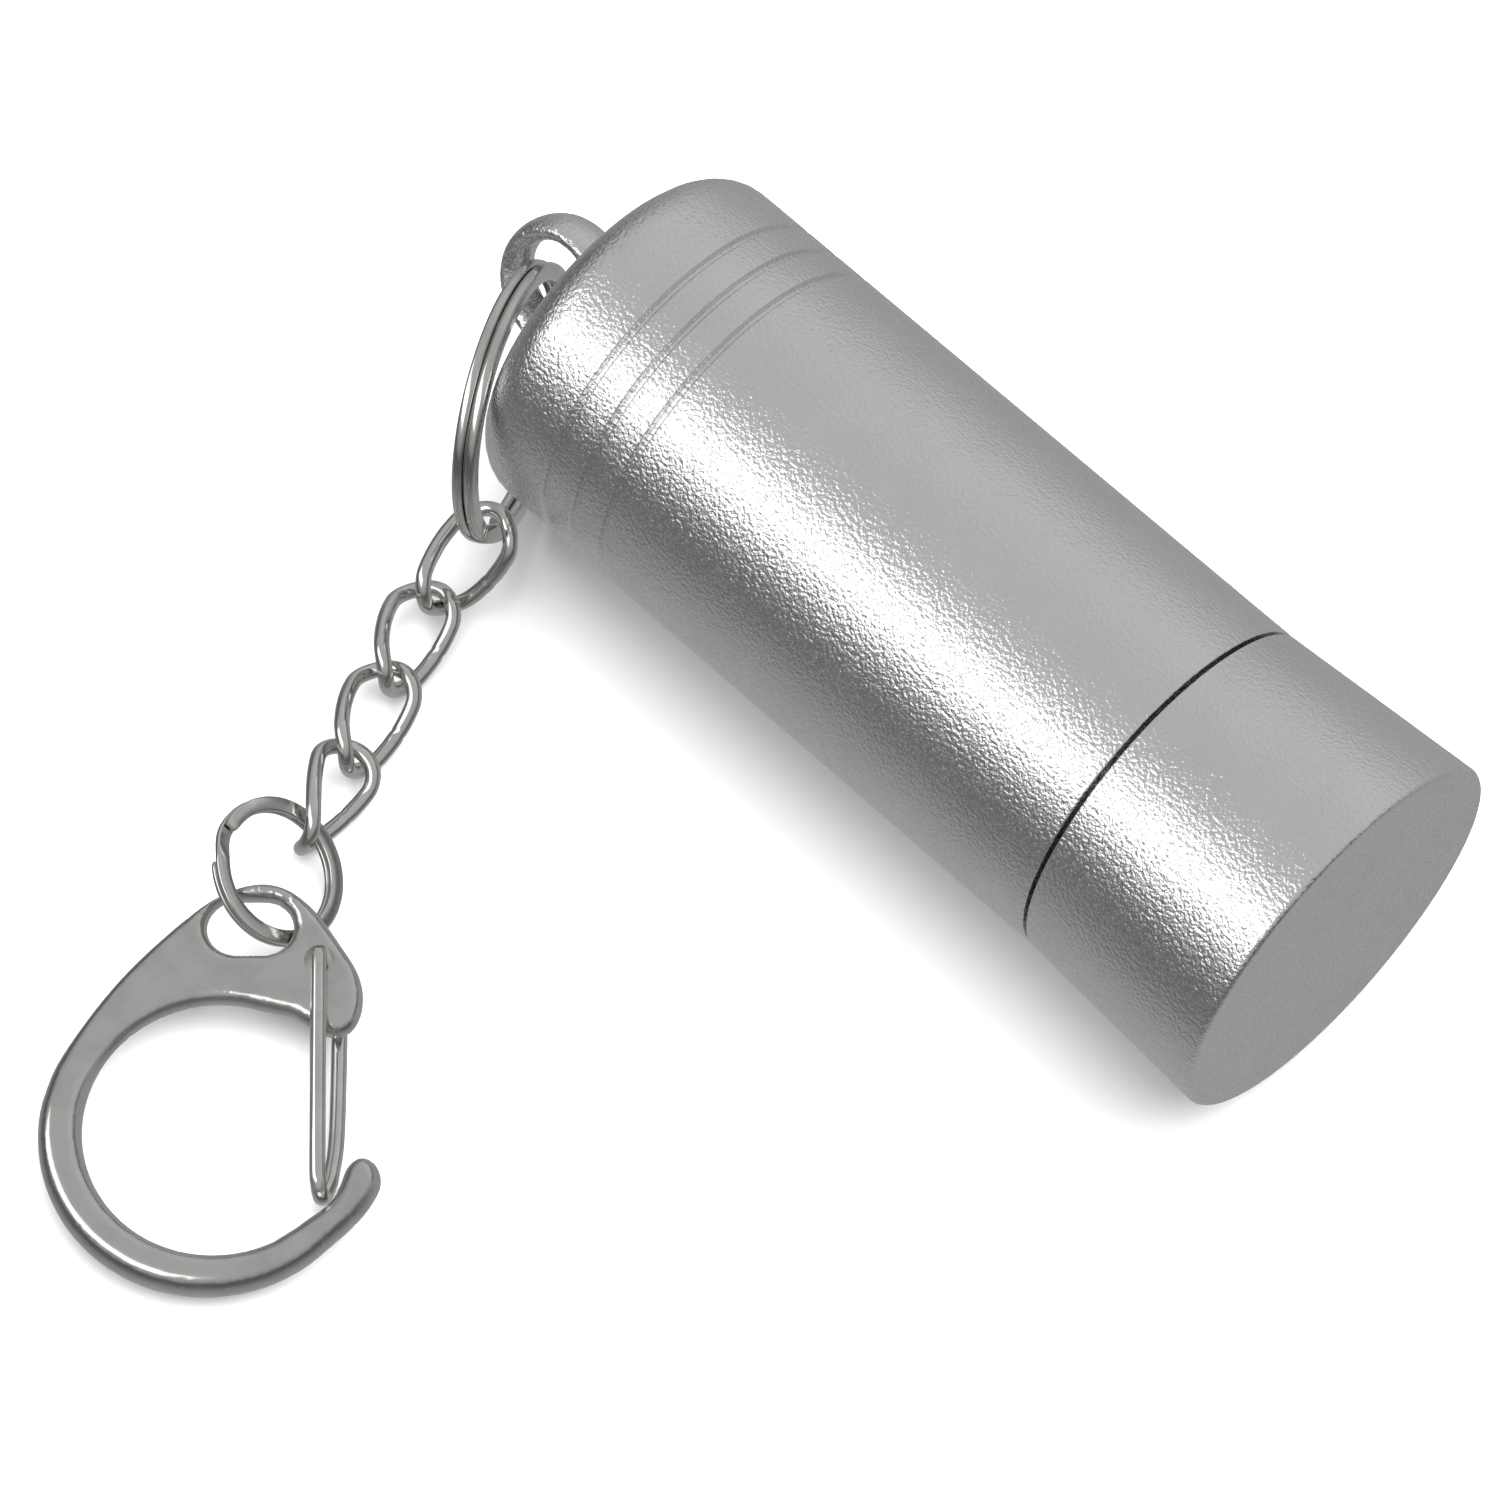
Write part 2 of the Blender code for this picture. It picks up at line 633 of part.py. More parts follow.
def hook_matrix():
    return (Matrix.Translation(HOOK_ORIGIN) @ Matrix.Rotation(HOOK_HEADING, 4, "Z")
            @ Matrix.Rotation(HOOK_TILT, 4, "X"))


def hook_outline():
    """The hook's outer edge, then the nose and the inner edge, anticlockwise outside."""
    shoulder = [(-11.9, 1.6), (-11.05, 4.1), (-9.15, 7.3), (-6.8, 10.5), (-4.1, 13.4), (-1.2, 16.0),
                (0.8, 17.2), (3.0, 17.7), (4.9, 17.2), (6.7, 15.7), (8.5, 13.2), (9.9, 10.8),
                (10.2, 8.6), (9.5, 6.8), (8.0, 6.3), (6.4, 7.1), (4.9, 7.9)]
    nose = [(9.3, -8.2), (10.8, -6.5), (11.7, -4.7), (11.35, -3.3), (10.3, -2.8), (9.35, -3.5),
            (8.85, -4.9), (8.1, -6.2), (6.6, -7.4), (5.2, -8.4)]
    shoulder = [(x * MM, y * MM) for x, y in shoulder]
    nose = [(x * MM, y * MM) for x, y in nose]
    outer = arc(*BOW_OUTER, *BOW_OUTER_SPAN, 18)
    inner = arc(*BOW_INNER, *BOW_INNER_SPAN, 24)
    loop = smooth_path([outer[-1]] + nose + [inner[1]], 2)[:-1]
    loop += inner
    loop += smooth_path([inner[-2]] + shoulder[::-1] + [outer[1]], 2)
    loop += outer[1:-1]
    return loop


def eye_outline():
    centre_x, centre_y = EYE_CENTRE
    reach = EYE_HALF_LENGTH - EYE_RADIUS
    right = arc(centre_x + reach, centre_y, EYE_RADIUS, -90, 90, 8)
    left = arc(centre_x - reach, centre_y, EYE_RADIUS, 90, 270, 8)
    return right + left


def hook_half_thickness(y):
    """Half the hook's thickness: full on the bow, thinner on the eye plate."""
    t = min(max(y / PLATE_TAPER, 0.0), 1.0)
    t = t * t * (3 - 2 * t)
    return BOW_HALF_THICKNESS + (PLATE_HALF_THICKNESS - BOW_HALF_THICKNESS) * t


def build_hook(look):
    """Cast snap hook: C-shaped bow, eye plate with a slot, ear with two pivot holes."""
    curve = flat_outline("hook_body", [hook_outline(), eye_outline()],
                         BOW_HALF_THICKNESS, HOOK_EDGE, look)
    item = as_mesh(curve)
    for vertex in item.data.vertices:
        vertex.co.z *= hook_half_thickness(vertex.co.y) / BOW_HALF_THICKNESS
    item.data.materials.clear()
    item.data.materials.append(make_material("hook_body", *look))
    item.matrix_world = hook_matrix()
    depth = 2.0 * MM
    for side, (x, y) in ((1, GATE_TOP_PIVOT), (-1, GATE_BOTTOM_PIVOT)):
        mesh = bpy.data.meshes.new("pivot_hole")
        work = bmesh.new()
        bmesh.ops.create_cone(work, cap_ends=True, segments=20, radius1=GATE_HOLE_RADIUS,
                              radius2=GATE_HOLE_RADIUS, depth=depth)
        work.to_mesh(mesh)
        work.free()
        hole = link_object(f"pivot_hole_{side}", mesh, None, CUTTERS)
        hole.matrix_world = hook_matrix() @ Matrix.Translation(
            (x, y, side * (GATE_HOLE_FLOOR + depth / 2)))
        use_cutter(item, hole, "DIFFERENCE")
    smooth(item)
    return item


def gate_points():
    """The gate wire from the end in the top hole, round its nose, to the bottom hole."""
    top_x, top_y = GATE_TOP_PIVOT
    low_x, low_y = GATE_BOTTOM_PIVOT
    height = GATE_LEG_HEIGHT
    end = GATE_END_HEIGHT
    top = [(top_x, top_y, end), (top_x, top_y, height - 0.75 * MM),
           (top_x, top_y - 0.2 * MM, height - 0.25 * MM), (top_x, top_y - 0.8 * MM, height)]
    low = [(low_x, low_y - 0.8 * MM, -height), (low_x, low_y - 0.2 * MM, -height + 0.25 * MM),
           (low_x, low_y, -height + 0.75 * MM), (low_x, low_y, -end)]
    nose = [(7.3, 0.0, 1.75), (7.35, -4.0, 1.35), (7.42, -4.9, 1.1), (7.5, -5.4, 0.5),
            (7.6, -5.5, -0.2), (7.75, -5.2, -0.85), (8.0, -4.4, -1.2), (8.2, -3.4, -1.35),
            (8.5, 0.0, -1.65)]
    nose = [(x * MM, y * MM, z * MM) for x, y, z in nose]
    return top + nose + low


def gate_pivot():
    return Vector(((GATE_TOP_PIVOT[0] + GATE_BOTTOM_PIVOT[0]) / 2,
                   (GATE_TOP_PIVOT[1] + GATE_BOTTOM_PIVOT[1]) / 2, 0.0))


def build_gate(look):
    """Spring wire gate; its origin is midway between its two pivot holes."""
    pivot = gate_pivot()
    points = [Vector(p) - pivot for p in gate_points()]
    item = wire("gate_wire", points, GATE_WIRE, look)
    item.matrix_world = hook_matrix() @ Matrix.Translation(pivot)
    return item


# ------------------------------------------------------------------------ assembly

def main():
    clear_scene()
    make_collection(COLLECTION)
    make_collection(CUTTERS)
    aluminium = ((0.72, 0.72, 0.72), 0.45, 0.9)
    nickel = ((0.62, 0.62, 0.62), 0.18, 1.0)
    zinc = ((0.60, 0.60, 0.60), 0.25, 1.0)
    steel = ((0.50, 0.50, 0.51), 0.35, 1.0)
    magnet = ((0.66, 0.65, 0.63), 0.22, 1.0)
    rubber = ((0.04, 0.04, 0.04), 0.75, 0.0)
    plastic = ((0.08, 0.08, 0.09), 0.50, 0.0)

    sleeve = build_sleeve(aluminium)
    cap = build_cap(aluminium)
    keeper, liner = build_cap_fittings(steel, rubber)
    build_seal(rubber)
    build_snap_ring(steel)
    build_magnets(magnet)
    _, yoke_back = build_yoke(steel)
    _, washer_back = build_wave_washer(yoke_back + GAP, steel)
    build_spacer(washer_back + GAP, plastic)

    carried = [build_split_ring(nickel)]
    carried += build_chain(nickel)
    carried.append(build_small_ring(nickel))
    carried.append(build_hook(zinc))
    carried.append(build_gate(nickel))
    holder = sleeve
    for piece in carried:
        attach(piece, holder)
        holder = piece
    for piece in (keeper, liner, cap):
        attach(piece, sleeve)


main()
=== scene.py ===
"""Looks of the keychain magnet tool, in the frame of its CAD model."""

from math import cos, pi, radians, sin

import bmesh
import bpy
import numpy as np
from mathutils import Matrix, Vector, geometry


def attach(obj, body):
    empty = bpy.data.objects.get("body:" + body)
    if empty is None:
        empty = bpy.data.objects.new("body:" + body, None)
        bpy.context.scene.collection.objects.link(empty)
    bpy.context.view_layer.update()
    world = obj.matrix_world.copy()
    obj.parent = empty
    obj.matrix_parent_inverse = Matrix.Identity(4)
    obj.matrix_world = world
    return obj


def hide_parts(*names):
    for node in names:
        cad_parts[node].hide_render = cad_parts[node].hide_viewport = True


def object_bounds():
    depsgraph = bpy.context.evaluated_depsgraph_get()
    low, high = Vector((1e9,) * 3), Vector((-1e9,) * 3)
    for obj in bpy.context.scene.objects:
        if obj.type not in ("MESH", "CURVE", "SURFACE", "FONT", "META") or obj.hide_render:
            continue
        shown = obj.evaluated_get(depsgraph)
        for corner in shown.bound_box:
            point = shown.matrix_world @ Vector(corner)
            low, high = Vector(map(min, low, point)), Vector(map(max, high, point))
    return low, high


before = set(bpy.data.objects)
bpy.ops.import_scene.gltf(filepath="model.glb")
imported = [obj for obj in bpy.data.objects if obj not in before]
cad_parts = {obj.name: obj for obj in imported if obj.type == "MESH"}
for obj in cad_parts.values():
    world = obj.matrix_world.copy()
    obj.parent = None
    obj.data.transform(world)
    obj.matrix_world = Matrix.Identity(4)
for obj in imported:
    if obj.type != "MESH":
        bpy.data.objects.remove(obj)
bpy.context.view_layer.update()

MM = 0.001
GAP = 0.3 * MM
INSET = 0.997                       # round surfaces stay inside the model's flat facets
FLAT_INSET = 0.995                  # the same for the faces of the lug and the hook
WIRE_INSET = 0.99                   # the same for wires and rings
AROUND = 144                        # steps round the cylinder
STEPS_INSIDE = 96                   # steps round the pieces inside it
MERGE = 0.0005 * MM

# Cylinder: depths behind the front face, and radii
CAP_FRONT_RADIUS = 15.0 * MM
BODY_RADIUS = 14.0 * MM
SEAM_DEPTH = 16.4 * MM
TAIL_DEPTH = 70.9 * MM
TAIL_ROUNDING = 3.5 * MM
SEAM_EDGE = 0.14 * MM
SEAM_OPENING = 0.005 * MM           # extra width of the seam on the sleeve's side
GROOVE_DEPTHS = [57.4 * MM, 60.2 * MM, 63.0 * MM]
GROOVE_HALF_WIDTH = 0.32 * MM
GROOVE_FLOOR_HALF_WIDTH = 0.12 * MM
GROOVE_CUT = 0.38 * MM
GROOVE_EDGE = 0.10 * MM
GROOVE_FLOOR_EDGE = 0.07 * MM
THREAD_RADIUS = 12.4 * MM
THREAD_PITCH = 1.5 * MM
THREAD_CUT = 0.5 * MM
THREAD_EDGE = 0.06 * MM
THREAD_RELIEF = 1.2 * MM            # plain length before the shoulder
THREAD_CLEARANCE = 0.35 * MM
NOSE_RADIUS = 11.2 * MM
NOSE_CLEARANCE = 0.4 * MM
NOSE_DEPTH = 5.9 * MM
THREAD_DEPTH = 9.6 * MM
CAP_WALL = 2.2 * MM
BORE_RADIUS = 10.2 * MM
BORE_END_DEPTH = 66.4 * MM
STACK_DEPTH = 7.9 * MM
MAGNET_RADIUS = 8.3 * MM
MAGNET_LENGTH = 8.0 * MM
MAGNET_RECESS_RADIUS = 4.5 * MM
KEEPER_THICKNESS = 1.4 * MM
LINER_THICKNESS = 1.0 * MM
LINER_GAP = 0.1 * MM + GAP
YOKE_WALL = 1.3 * MM
YOKE_FLOOR = 2.0 * MM
SPACER_WALL = 2.2 * MM
WASHER_THICKNESS = 0.35 * MM
WASHER_SWING = 0.35 * MM
WASHER_WIDTH = 2.6 * MM
WASHER_LIFT = 0.34 * MM
WASHER_STRIP = 0.34 * MM
WASHER_WAVES = 3
WASHER_STEPS = 144
SNAP_GROOVE = (0.2 * MM, 1.3 * MM, 0.5 * MM)   # its two ends ahead of the stack, and its cut
SNAP_FRONT = 1.05 * MM
SNAP_WIDTH = 1.6 * MM
SNAP_THICKNESS = 0.58 * MM
SNAP_HALF_OPENING = radians(19)
SEAL_HALF_LENGTH = 0.44 * MM
SEAL_HALF_HEIGHT = 0.24 * MM

# Lug
LUG_TURN = radians(60)
LUG_HALF_THICKNESS = 2.0 * MM
LUG_RADIUS = 5.1 * MM
LUG_NECK = 3.8 * MM
LUG_CENTRE = 3.9 * MM
LUG_HOLE_RADIUS = 3.1 * MM
LUG_HOLE_OFFSET = 4.2 * MM
LUG_ROOT = 4.2 * MM                 # how far it reaches into the tail
LUG_EDGE = 1.0 * MM
LUG_HOLE_EDGE = 1.7 * MM
LUG_SPACING = 0.45 * MM

# Rings and chain
RING_RADIUS = 9.7 * MM
RING_BAND = 1.4 * MM
RING_LAYER = 0.8 * MM
RING_PITCH = 0.9 * MM
RING_CROSSOVER = radians(16)
RING_STEPS = 260
RING_CENTRE = Vector((-71.98, -8.05, -3.70)) * MM
RING_NORMAL = Vector((0.898, 0.4269, 0.1064)).normalized()
RING_ENDS = radians(125)
WIRE = 1.15 * MM
LINK_LENGTH = 8.5 * MM
LINK_WIDTH = 4.6 * MM
LINK_TWIST = radians(52)
LINK_ROLL = radians(-30)
CHAIN_HEADING = radians(-68.2)
CHAIN_START = Vector((-68.65, -20.65, -13.15)) * MM
LINK_1_REAR = Vector((-68.38, -13.12, -9.05)) * MM
LINK_1_FRONT = Vector((-68.22, -20.74, -12.83)) * MM
LINK_4_CLIMB = radians(0.8)
LINK_4_TURN = radians(-2.4)
LINK_4_ROLL = radians(-59.9)
SMALL_RING_RADIUS = 4.87 * MM
SMALL_RING_BAND = 1.1 * MM
SMALL_RING_LAYER = 0.45 * MM
SMALL_RING_PITCH = 0.55 * MM
SMALL_RING_CENTRE = Vector((-60.366, -43.539, -11.545)) * MM
SMALL_RING_HIGH_SIDE = radians(169.74)
SMALL_RING_TILT = radians(38.82)
SMALL_RING_ENDS = 0.0

# Snap hook
HOOK_ORIGIN = Vector((-50.0, -59.9, -12.44)) * MM
HOOK_HEADING = radians(44.2)
HOOK_TILT = radians(4.2)
BOW_HALF_THICKNESS = 1.6 * MM
PLATE_HALF_THICKNESS = 1.1 * MM
PLATE_TAPER = 6.0 * MM              # length over which the bow thins to the plate
BOW_EDGE = 1.15 * MM
PLATE_EDGE = 0.85 * MM
EDGE_TAPER = (2.0 * MM, 7.0 * MM)   # where the bow's rounding starts to tighten, and how far it takes
EYE_CENTRE = (2.2 * MM, 14.4 * MM)
EYE_RADIUS = 2.1 * MM
EYE_REACH = 0.95 * MM               # from its centre to each end's centre
EYE_EDGE = 0.80 * MM
HOOK_SPACING = 0.42 * MM
PIVOT_HOLE_RADIUS = 1.08 * MM
PIVOT_HOLE_DEPTH = 2.0 * MM
PIVOT_HOLE_MIDDLE = 1.15 * MM
GATE_TOP_PIVOT = (7.15 * MM, 11.7 * MM)
GATE_BOTTOM_PIVOT = (8.5 * MM, 10.6 * MM)
GATE_WIRE = 1.15 * MM
GATE_END = 0.45 * MM                # where the wire's ends stop inside the holes

# Camera and light
CAMERA_PLACE = Vector((141.53, -203.21, 506.06)) * MM
CAMERA_RIGHT = Vector((0.71659, 0.69750, 0.0))
CAMERA_UP = Vector((-0.62092, 0.63792, 0.45554))
CAMERA_BACK = Vector((0.31774, -0.32643, 0.89021))
CAMERA_LENS = 196.43
CAMERA_SENSOR = 36.0
KEY_DIRECTION = (-0.32, -0.66, 0.68)
KEY_DISTANCE = 0.45
KEY_SIZE = (0.60, 0.23)
KEY_RADIANCE = 1.5
KEY_AIM = Vector((-0.040, -0.010, 0.0))
SUN_ENERGY = 5.5
SUN_ANGLE = radians(70)
SUN_TILT = (radians(-14), radians(10), 0.0)
FLOOR_HALF_WIDTH = 1.5
FLOOR_GAP = 0.05 * MM


# ------------------------------------------------------------------ mesh helpers

def make_object(name, vertices, faces, material, flat_angle=40):
    mesh = bpy.data.meshes.new(name)
    mesh.from_pydata([tuple(v) for v in vertices], [], faces)
    return finish_mesh(name, mesh, material, flat_angle)


def finish_mesh(name, mesh, material, flat_angle=40):
    work = bmesh.new()
    work.from_mesh(mesh)
    bmesh.ops.remove_doubles(work, verts=work.verts, dist=MERGE)
    bmesh.ops.dissolve_degenerate(work, edges=work.edges, dist=MERGE)
    bmesh.ops.recalc_face_normals(work, faces=work.faces)
    work.to_mesh(mesh)
    work.free()
    mesh.shade_smooth()
    mesh.set_sharp_from_angle(angle=radians(flat_angle))
    mesh.materials.clear()
    mesh.materials.append(material)
    item = bpy.data.objects.new(name, mesh)
    bpy.context.scene.collection.objects.link(item)
    return item


def rounded_profile(corners):
    """(depth, radius) points; a corner given with a third value is rounded by it."""
    points = []
    count = len(corners)
    for i, corner in enumerate(corners):
        here = Vector(corner[:2])
        if len(corner) < 3 or corner[2] == 0:
            points.append(here)
            continue
        before = (Vector(corners[i - 1][:2]) - here).normalized()
        after = (Vector(corners[(i + 1) % count][:2]) - here).normalized()
        half = before.angle(after) / 2
        reach = corner[2] / np.tan(half)
        centre = here + (before + after).normalized() * corner[2] / sin(half)
        start, end = here + before * reach - centre, here + after * reach - centre
        steps = max(3, int(round((pi - 2 * half) / radians(12))))
        for k in range(steps + 1):
            points.append(centre + start.slerp(end, k / steps) * corner[2])
    return points


def revolve(name, corners, material, steps=AROUND, flat_angle=40):
    """A closed solid turned about X from an outline of (depth, radius[, rounding]) corners."""
    outline = rounded_profile(corners)
    vertices, rows = [], []
    for depth, radius in outline:
        if radius < 1e-6:
            rows.append([len(vertices)] * steps)
            vertices.append((-depth, 0.0, 0.0))
            continue
        row = []
        for k in range(steps):
            angle = 2 * pi * k / steps
            row.append(len(vertices))
            vertices.append((-depth, INSET * radius * cos(angle), INSET * radius * sin(angle)))
        rows.append(row)
    faces = []
    closed = outline[0][1] >= 1e-6 or outline[-1][1] >= 1e-6
    for a, b in zip(rows, rows[1:] + (rows[:1] if closed else [])):
        for k in range(steps):
            ring = [a[k], a[(k + 1) % steps], b[(k + 1) % steps], b[k]]
            face = [v for i, v in enumerate(ring) if v not in ring[:i]]
            if len(face) > 2:
                faces.append(face)
    return make_object(name, vertices, faces, material, flat_angle)


def sweep(name, points, ups, section, material, closed, flat_angle=50):
    """A section of (side, up) points carried along a path; ups are the section's up directions."""
    count, width = len(points), len(section(0.0))
    vertices, faces = [], []
    for i in range(count):
        before = points[i - 1] if closed or i > 0 else points[i]
        after = points[(i + 1) % count] if closed or i < count - 1 else points[i]
        tangent = (after - before).normalized()
        side = ups[i].cross(tangent).normalized()
        up = tangent.cross(side)
        for a, b in section(i / (count if closed else count - 1)):
            vertices.append(points[i] + side * a + up * b)
    for i in range(count if closed else count - 1):
        j = (i + 1) % count
        for k in range(width):
            n = (k + 1) % width
            faces.append([i * width + k, i * width + n, j * width + n, j * width + k])
    if not closed:
        faces.append(list(range(width)))
        faces.append([(count - 1) * width + k for k in reversed(range(width))])
    return make_object(name, vertices, faces, material, flat_angle)


def arc(centre_x, centre_y, radius, start, end, count):
    angles = [radians(start + (end - start) * i / count) for i in range(count + 1)]
    return [(centre_x + radius * cos(a), centre_y + radius * sin(a)) for a in angles]


def smooth_path(points, steps):
    """A Catmull-Rom curve through points, without the first and last of them."""
    path = []
    for before, start, end, after in zip(points, points[1:], points[2:], points[3:]):
        for i in range(steps):
            t = i / steps
            weights = (-t + 2 * t * t - t ** 3, 2 - 5 * t * t + 3 * t ** 3,
                       t + 4 * t * t - 3 * t ** 3, -t * t + t ** 3)
            path.append(tuple(sum(w * p[k] for w, p in zip(weights, (before, start, end, after))) / 2
                              for k in range(len(start))))
    path.append(tuple(points[-2]))
    return path


def resample(loop, spacing):
    """A closed loop of points at nearly even spacing."""
    points = np.array(loop + loop[:1])
    lengths = np.concatenate([[0], np.cumsum(np.linalg.norm(np.diff(points, axis=0), axis=1))])
    count = max(12, int(lengths[-1] / spacing))
    at = np.arange(count) * lengths[-1] / count
    return np.stack([np.interp(at, lengths, points[:, k]) for k in range(2)], axis=1)


def distance_to(loop, points):
    """Distance of each point to a closed loop of segments."""
    start, step = loop, np.roll(loop, -1, axis=0) - loop
    best = np.full(len(points), 1.0)
    for a, d in zip(start, step):
        t = np.clip(((points - a) @ d) / (d @ d), 0.0, 1.0)
        best = np.minimum(best, np.linalg.norm(points - a - t[:, None] * d, axis=1))
    return best


def is_inside(loop, points):
    x, y = points[:, 0], points[:, 1]
    inside = np.zeros(len(points), bool)
    for (x0, y0), (x1, y1) in zip(loop, np.roll(loop, -1, axis=0)):
        crosses = (y0 > y) != (y1 > y)
        at = (x1 - x0) * (y - y0) / (y1 - y0 + 1e-20) + x0
        inside ^= crosses & (x < at)
    return inside


def cushioned(name, outer, holes, half_thickness, edge, hole_edge, material, spacing):
    """A plate with rounded edges: its half thickness rises with the distance to an edge.

    half_thickness and edge are functions of an array of (x, y) points.
    """
    loops = [resample(outer, spacing)] + [resample(hole, spacing) for hole in holes]
    low, high = loops[0].min(axis=0), loops[0].max(axis=0)
    grid = []
    row_height = spacing * 0.87
    for j in range(int((high[1] - low[1]) / row_height) + 1):
        shift = spacing / 2 if j % 2 else 0.0
        xs = np.arange(low[0] + shift, high[0], spacing)
        grid.append(np.stack([xs, np.full(len(xs), low[1] + j * row_height)], axis=1))
    grid = np.concatenate(grid)

    def clearance(points):
        return [distance_to(loop, points) for loop in loops]

    def allowed(points, least):
        keep = is_inside(loops[0], points)
        for loop in loops[1:]:
            keep &= ~is_inside(loop, points)
        return keep & (np.min(clearance(points), axis=0) > least)

    widest = float(edge(loops[0]).max())
    grid = grid[allowed(grid, spacing * 0.45)]
    rims = []
    for number, loop in enumerate(loops):
        tangent = np.roll(loop, -1, axis=0) - np.roll(loop, 1, axis=0)
        normal = np.stack([-tangent[:, 1], tangent[:, 0]], axis=1)
        normal /= np.linalg.norm(normal, axis=1)[:, None]
        probe = loop + normal * spacing * 0.1
        if is_inside(loop, probe).mean() > 0.5:
            normal = normal if number == 0 else -normal
        else:
            normal = -normal if number == 0 else normal
        width = np.full(len(loop), hole_edge) if number else edge(loop)
        for turn in (12, 26, 42, 60):
            ring = loop + normal * (width * (1 - cos(radians(turn))))[:, None]
            ring = ring[allowed(ring, widest * 0.4 * (1 - cos(radians(turn))) * 0.5)]
            rims.append(ring)
    inner = np.concatenate([grid] + rims)
    _, first = np.unique(np.round(inner / (0.04 * MM)).astype(int), axis=0, return_index=True)
    inner = inner[np.sort(first)]
    border = np.concatenate(loops)
    edges, base = [], 0
    for loop in loops:
        edges += [(base + i, base + (i + 1) % len(loop)) for i in range(len(loop))]
        base += len(loop)
    flat = [Vector(p) for p in np.concatenate([border, inner])]
    found = geometry.delaunay_2d_cdt(flat, edges, [], 0, 1e-9)
    points = np.array([tuple(p) for p in found[0]])
    source = found[3]
    on_border = np.array([any(s < len(border) for s in group) for group in source])
    centres = np.array([points[list(f)].mean(axis=0) for f in found[2]])
    keep = is_inside(loops[0], centres)
    for loop in loops[1:]:
        keep &= ~is_inside(loop, centres)
    triangles = [tuple(f) for f, k in zip(found[2], keep) if k]
    distances = clearance(points)
    ratio = np.minimum(distances[0] / edge(points), 1.0)
    rise = np.sqrt(np.maximum(0.0, 1 - (1 - ratio) ** 2))
    for d in distances[1:]:
        ratio = np.minimum(d / hole_edge, 1.0)
        rise = rise * np.sqrt(np.maximum(0.0, 1 - (1 - ratio) ** 2))
    height = np.where(on_border, 0.0, half_thickness(points) * rise)
    count = len(points)
    lower = [i if on_border[i] else count + i for i in range(count)]
    vertices = [(x, y, h) for (x, y), h in zip(points, height)]
    vertices += [(x, y, -h) for (x, y), h in zip(points, height)]
    faces = triangles + [tuple(lower[i] for i in reversed(f)) for f in triangles]
    item = make_object(name, vertices, faces, material, 60)
    work = bmesh.new()
    work.from_mesh(item.data)
    bmesh.ops.delete(work, geom=[v for v in work.verts if not v.link_faces], context="VERTS")
    work.to_mesh(item.data)
    work.free()
    return item


def boolean(item, cutter, operation):
    change = item.modifiers.new("cut", "BOOLEAN")
    change.operation = operation
    change.solver = "EXACT"
    change.object = cutter
    bpy.context.view_layer.update()
    graph = bpy.context.evaluated_depsgraph_get()
    mesh = bpy.data.meshes.new_from_object(item.evaluated_get(graph))
    name, material = item.name, item.data.materials[0]
    old = item.data
    bpy.data.objects.remove(item, do_unlink=True)
    bpy.data.meshes.remove(old)
    bpy.data.objects.remove(cutter, do_unlink=True)
    return finish_mesh(name, mesh, material)


def settle(item):
    """Puts the object's place into its vertices."""
    item.data.transform(item.matrix_world)
    item.matrix_world = Matrix.Identity(4)
    return item


def cylinder(name, matrix, radius, depth, material, steps=48):
    mesh = bpy.data.meshes.new(name)
    work = bmesh.new()
    bmesh.ops.create_cone(work, cap_ends=True, segments=steps, radius1=radius, radius2=radius,
                          depth=depth, matrix=matrix)
    work.to_mesh(mesh)
    work.free()
    return finish_mesh(name, mesh, material)


# --------------------------------------------------------------------- materials

def new_material(name, metallic):
    material = bpy.data.materials.new(name)
    material.use_nodes = True
    shader = material.node_tree.nodes["Principled BSDF"]
    shader.inputs["Metallic"].default_value = metallic
    return material, material.node_tree, shader


def coordinates(tree, scale):
    place = tree.nodes.new("ShaderNodeTexCoord")
    mapping = tree.nodes.new("ShaderNodeMapping")
    mapping.inputs["Scale"].default_value = scale if isinstance(scale, tuple) else (scale,) * 3
    tree.links.new(place.outputs["Object"], mapping.inputs["Vector"])
    return mapping.outputs["Vector"]


def noise(tree, scale, detail=3.0, roughness=0.55, distortion=0.0):
    node = tree.nodes.new("ShaderNodeTexNoise")
    node.inputs["Scale"].default_value = 1.0
    node.inputs["Detail"].default_value = detail
    node.inputs["Roughness"].default_value = roughness
    node.inputs["Distortion"].default_value = distortion
    tree.links.new(coordinates(tree, scale), node.inputs["Vector"])
    return node.outputs["Fac"]


def cells(tree, scale):
    node = tree.nodes.new("ShaderNodeTexVoronoi")
    node.inputs["Scale"].default_value = 1.0
    tree.links.new(coordinates(tree, scale), node.inputs["Vector"])
    return node.outputs["Distance"]


def ramp(tree, value, stops):
    """Colour ramp; stops are (position, colour or grey)."""
    node = tree.nodes.new("ShaderNodeValToRGB")
    bar = node.color_ramp
    for number, (position, colour) in enumerate(stops):
        stop = bar.elements[number] if number < 2 else bar.elements.new(position)
        stop.position = position
        stop.color = (*colour, 1.0) if isinstance(colour, tuple) else (colour,) * 3 + (1.0,)
    tree.links.new(value, node.inputs["Fac"])
    return node.outputs["Color"]


def bump(tree, height, strength, distance, below=None):
    node = tree.nodes.new("ShaderNodeBump")
    node.inputs["Strength"].default_value = strength
    node.inputs["Distance"].default_value = distance
    tree.links.new(height, node.inputs["Height"])
    if below is not None:
        tree.links.new(below, node.inputs["Normal"])
    return node.outputs["Normal"]


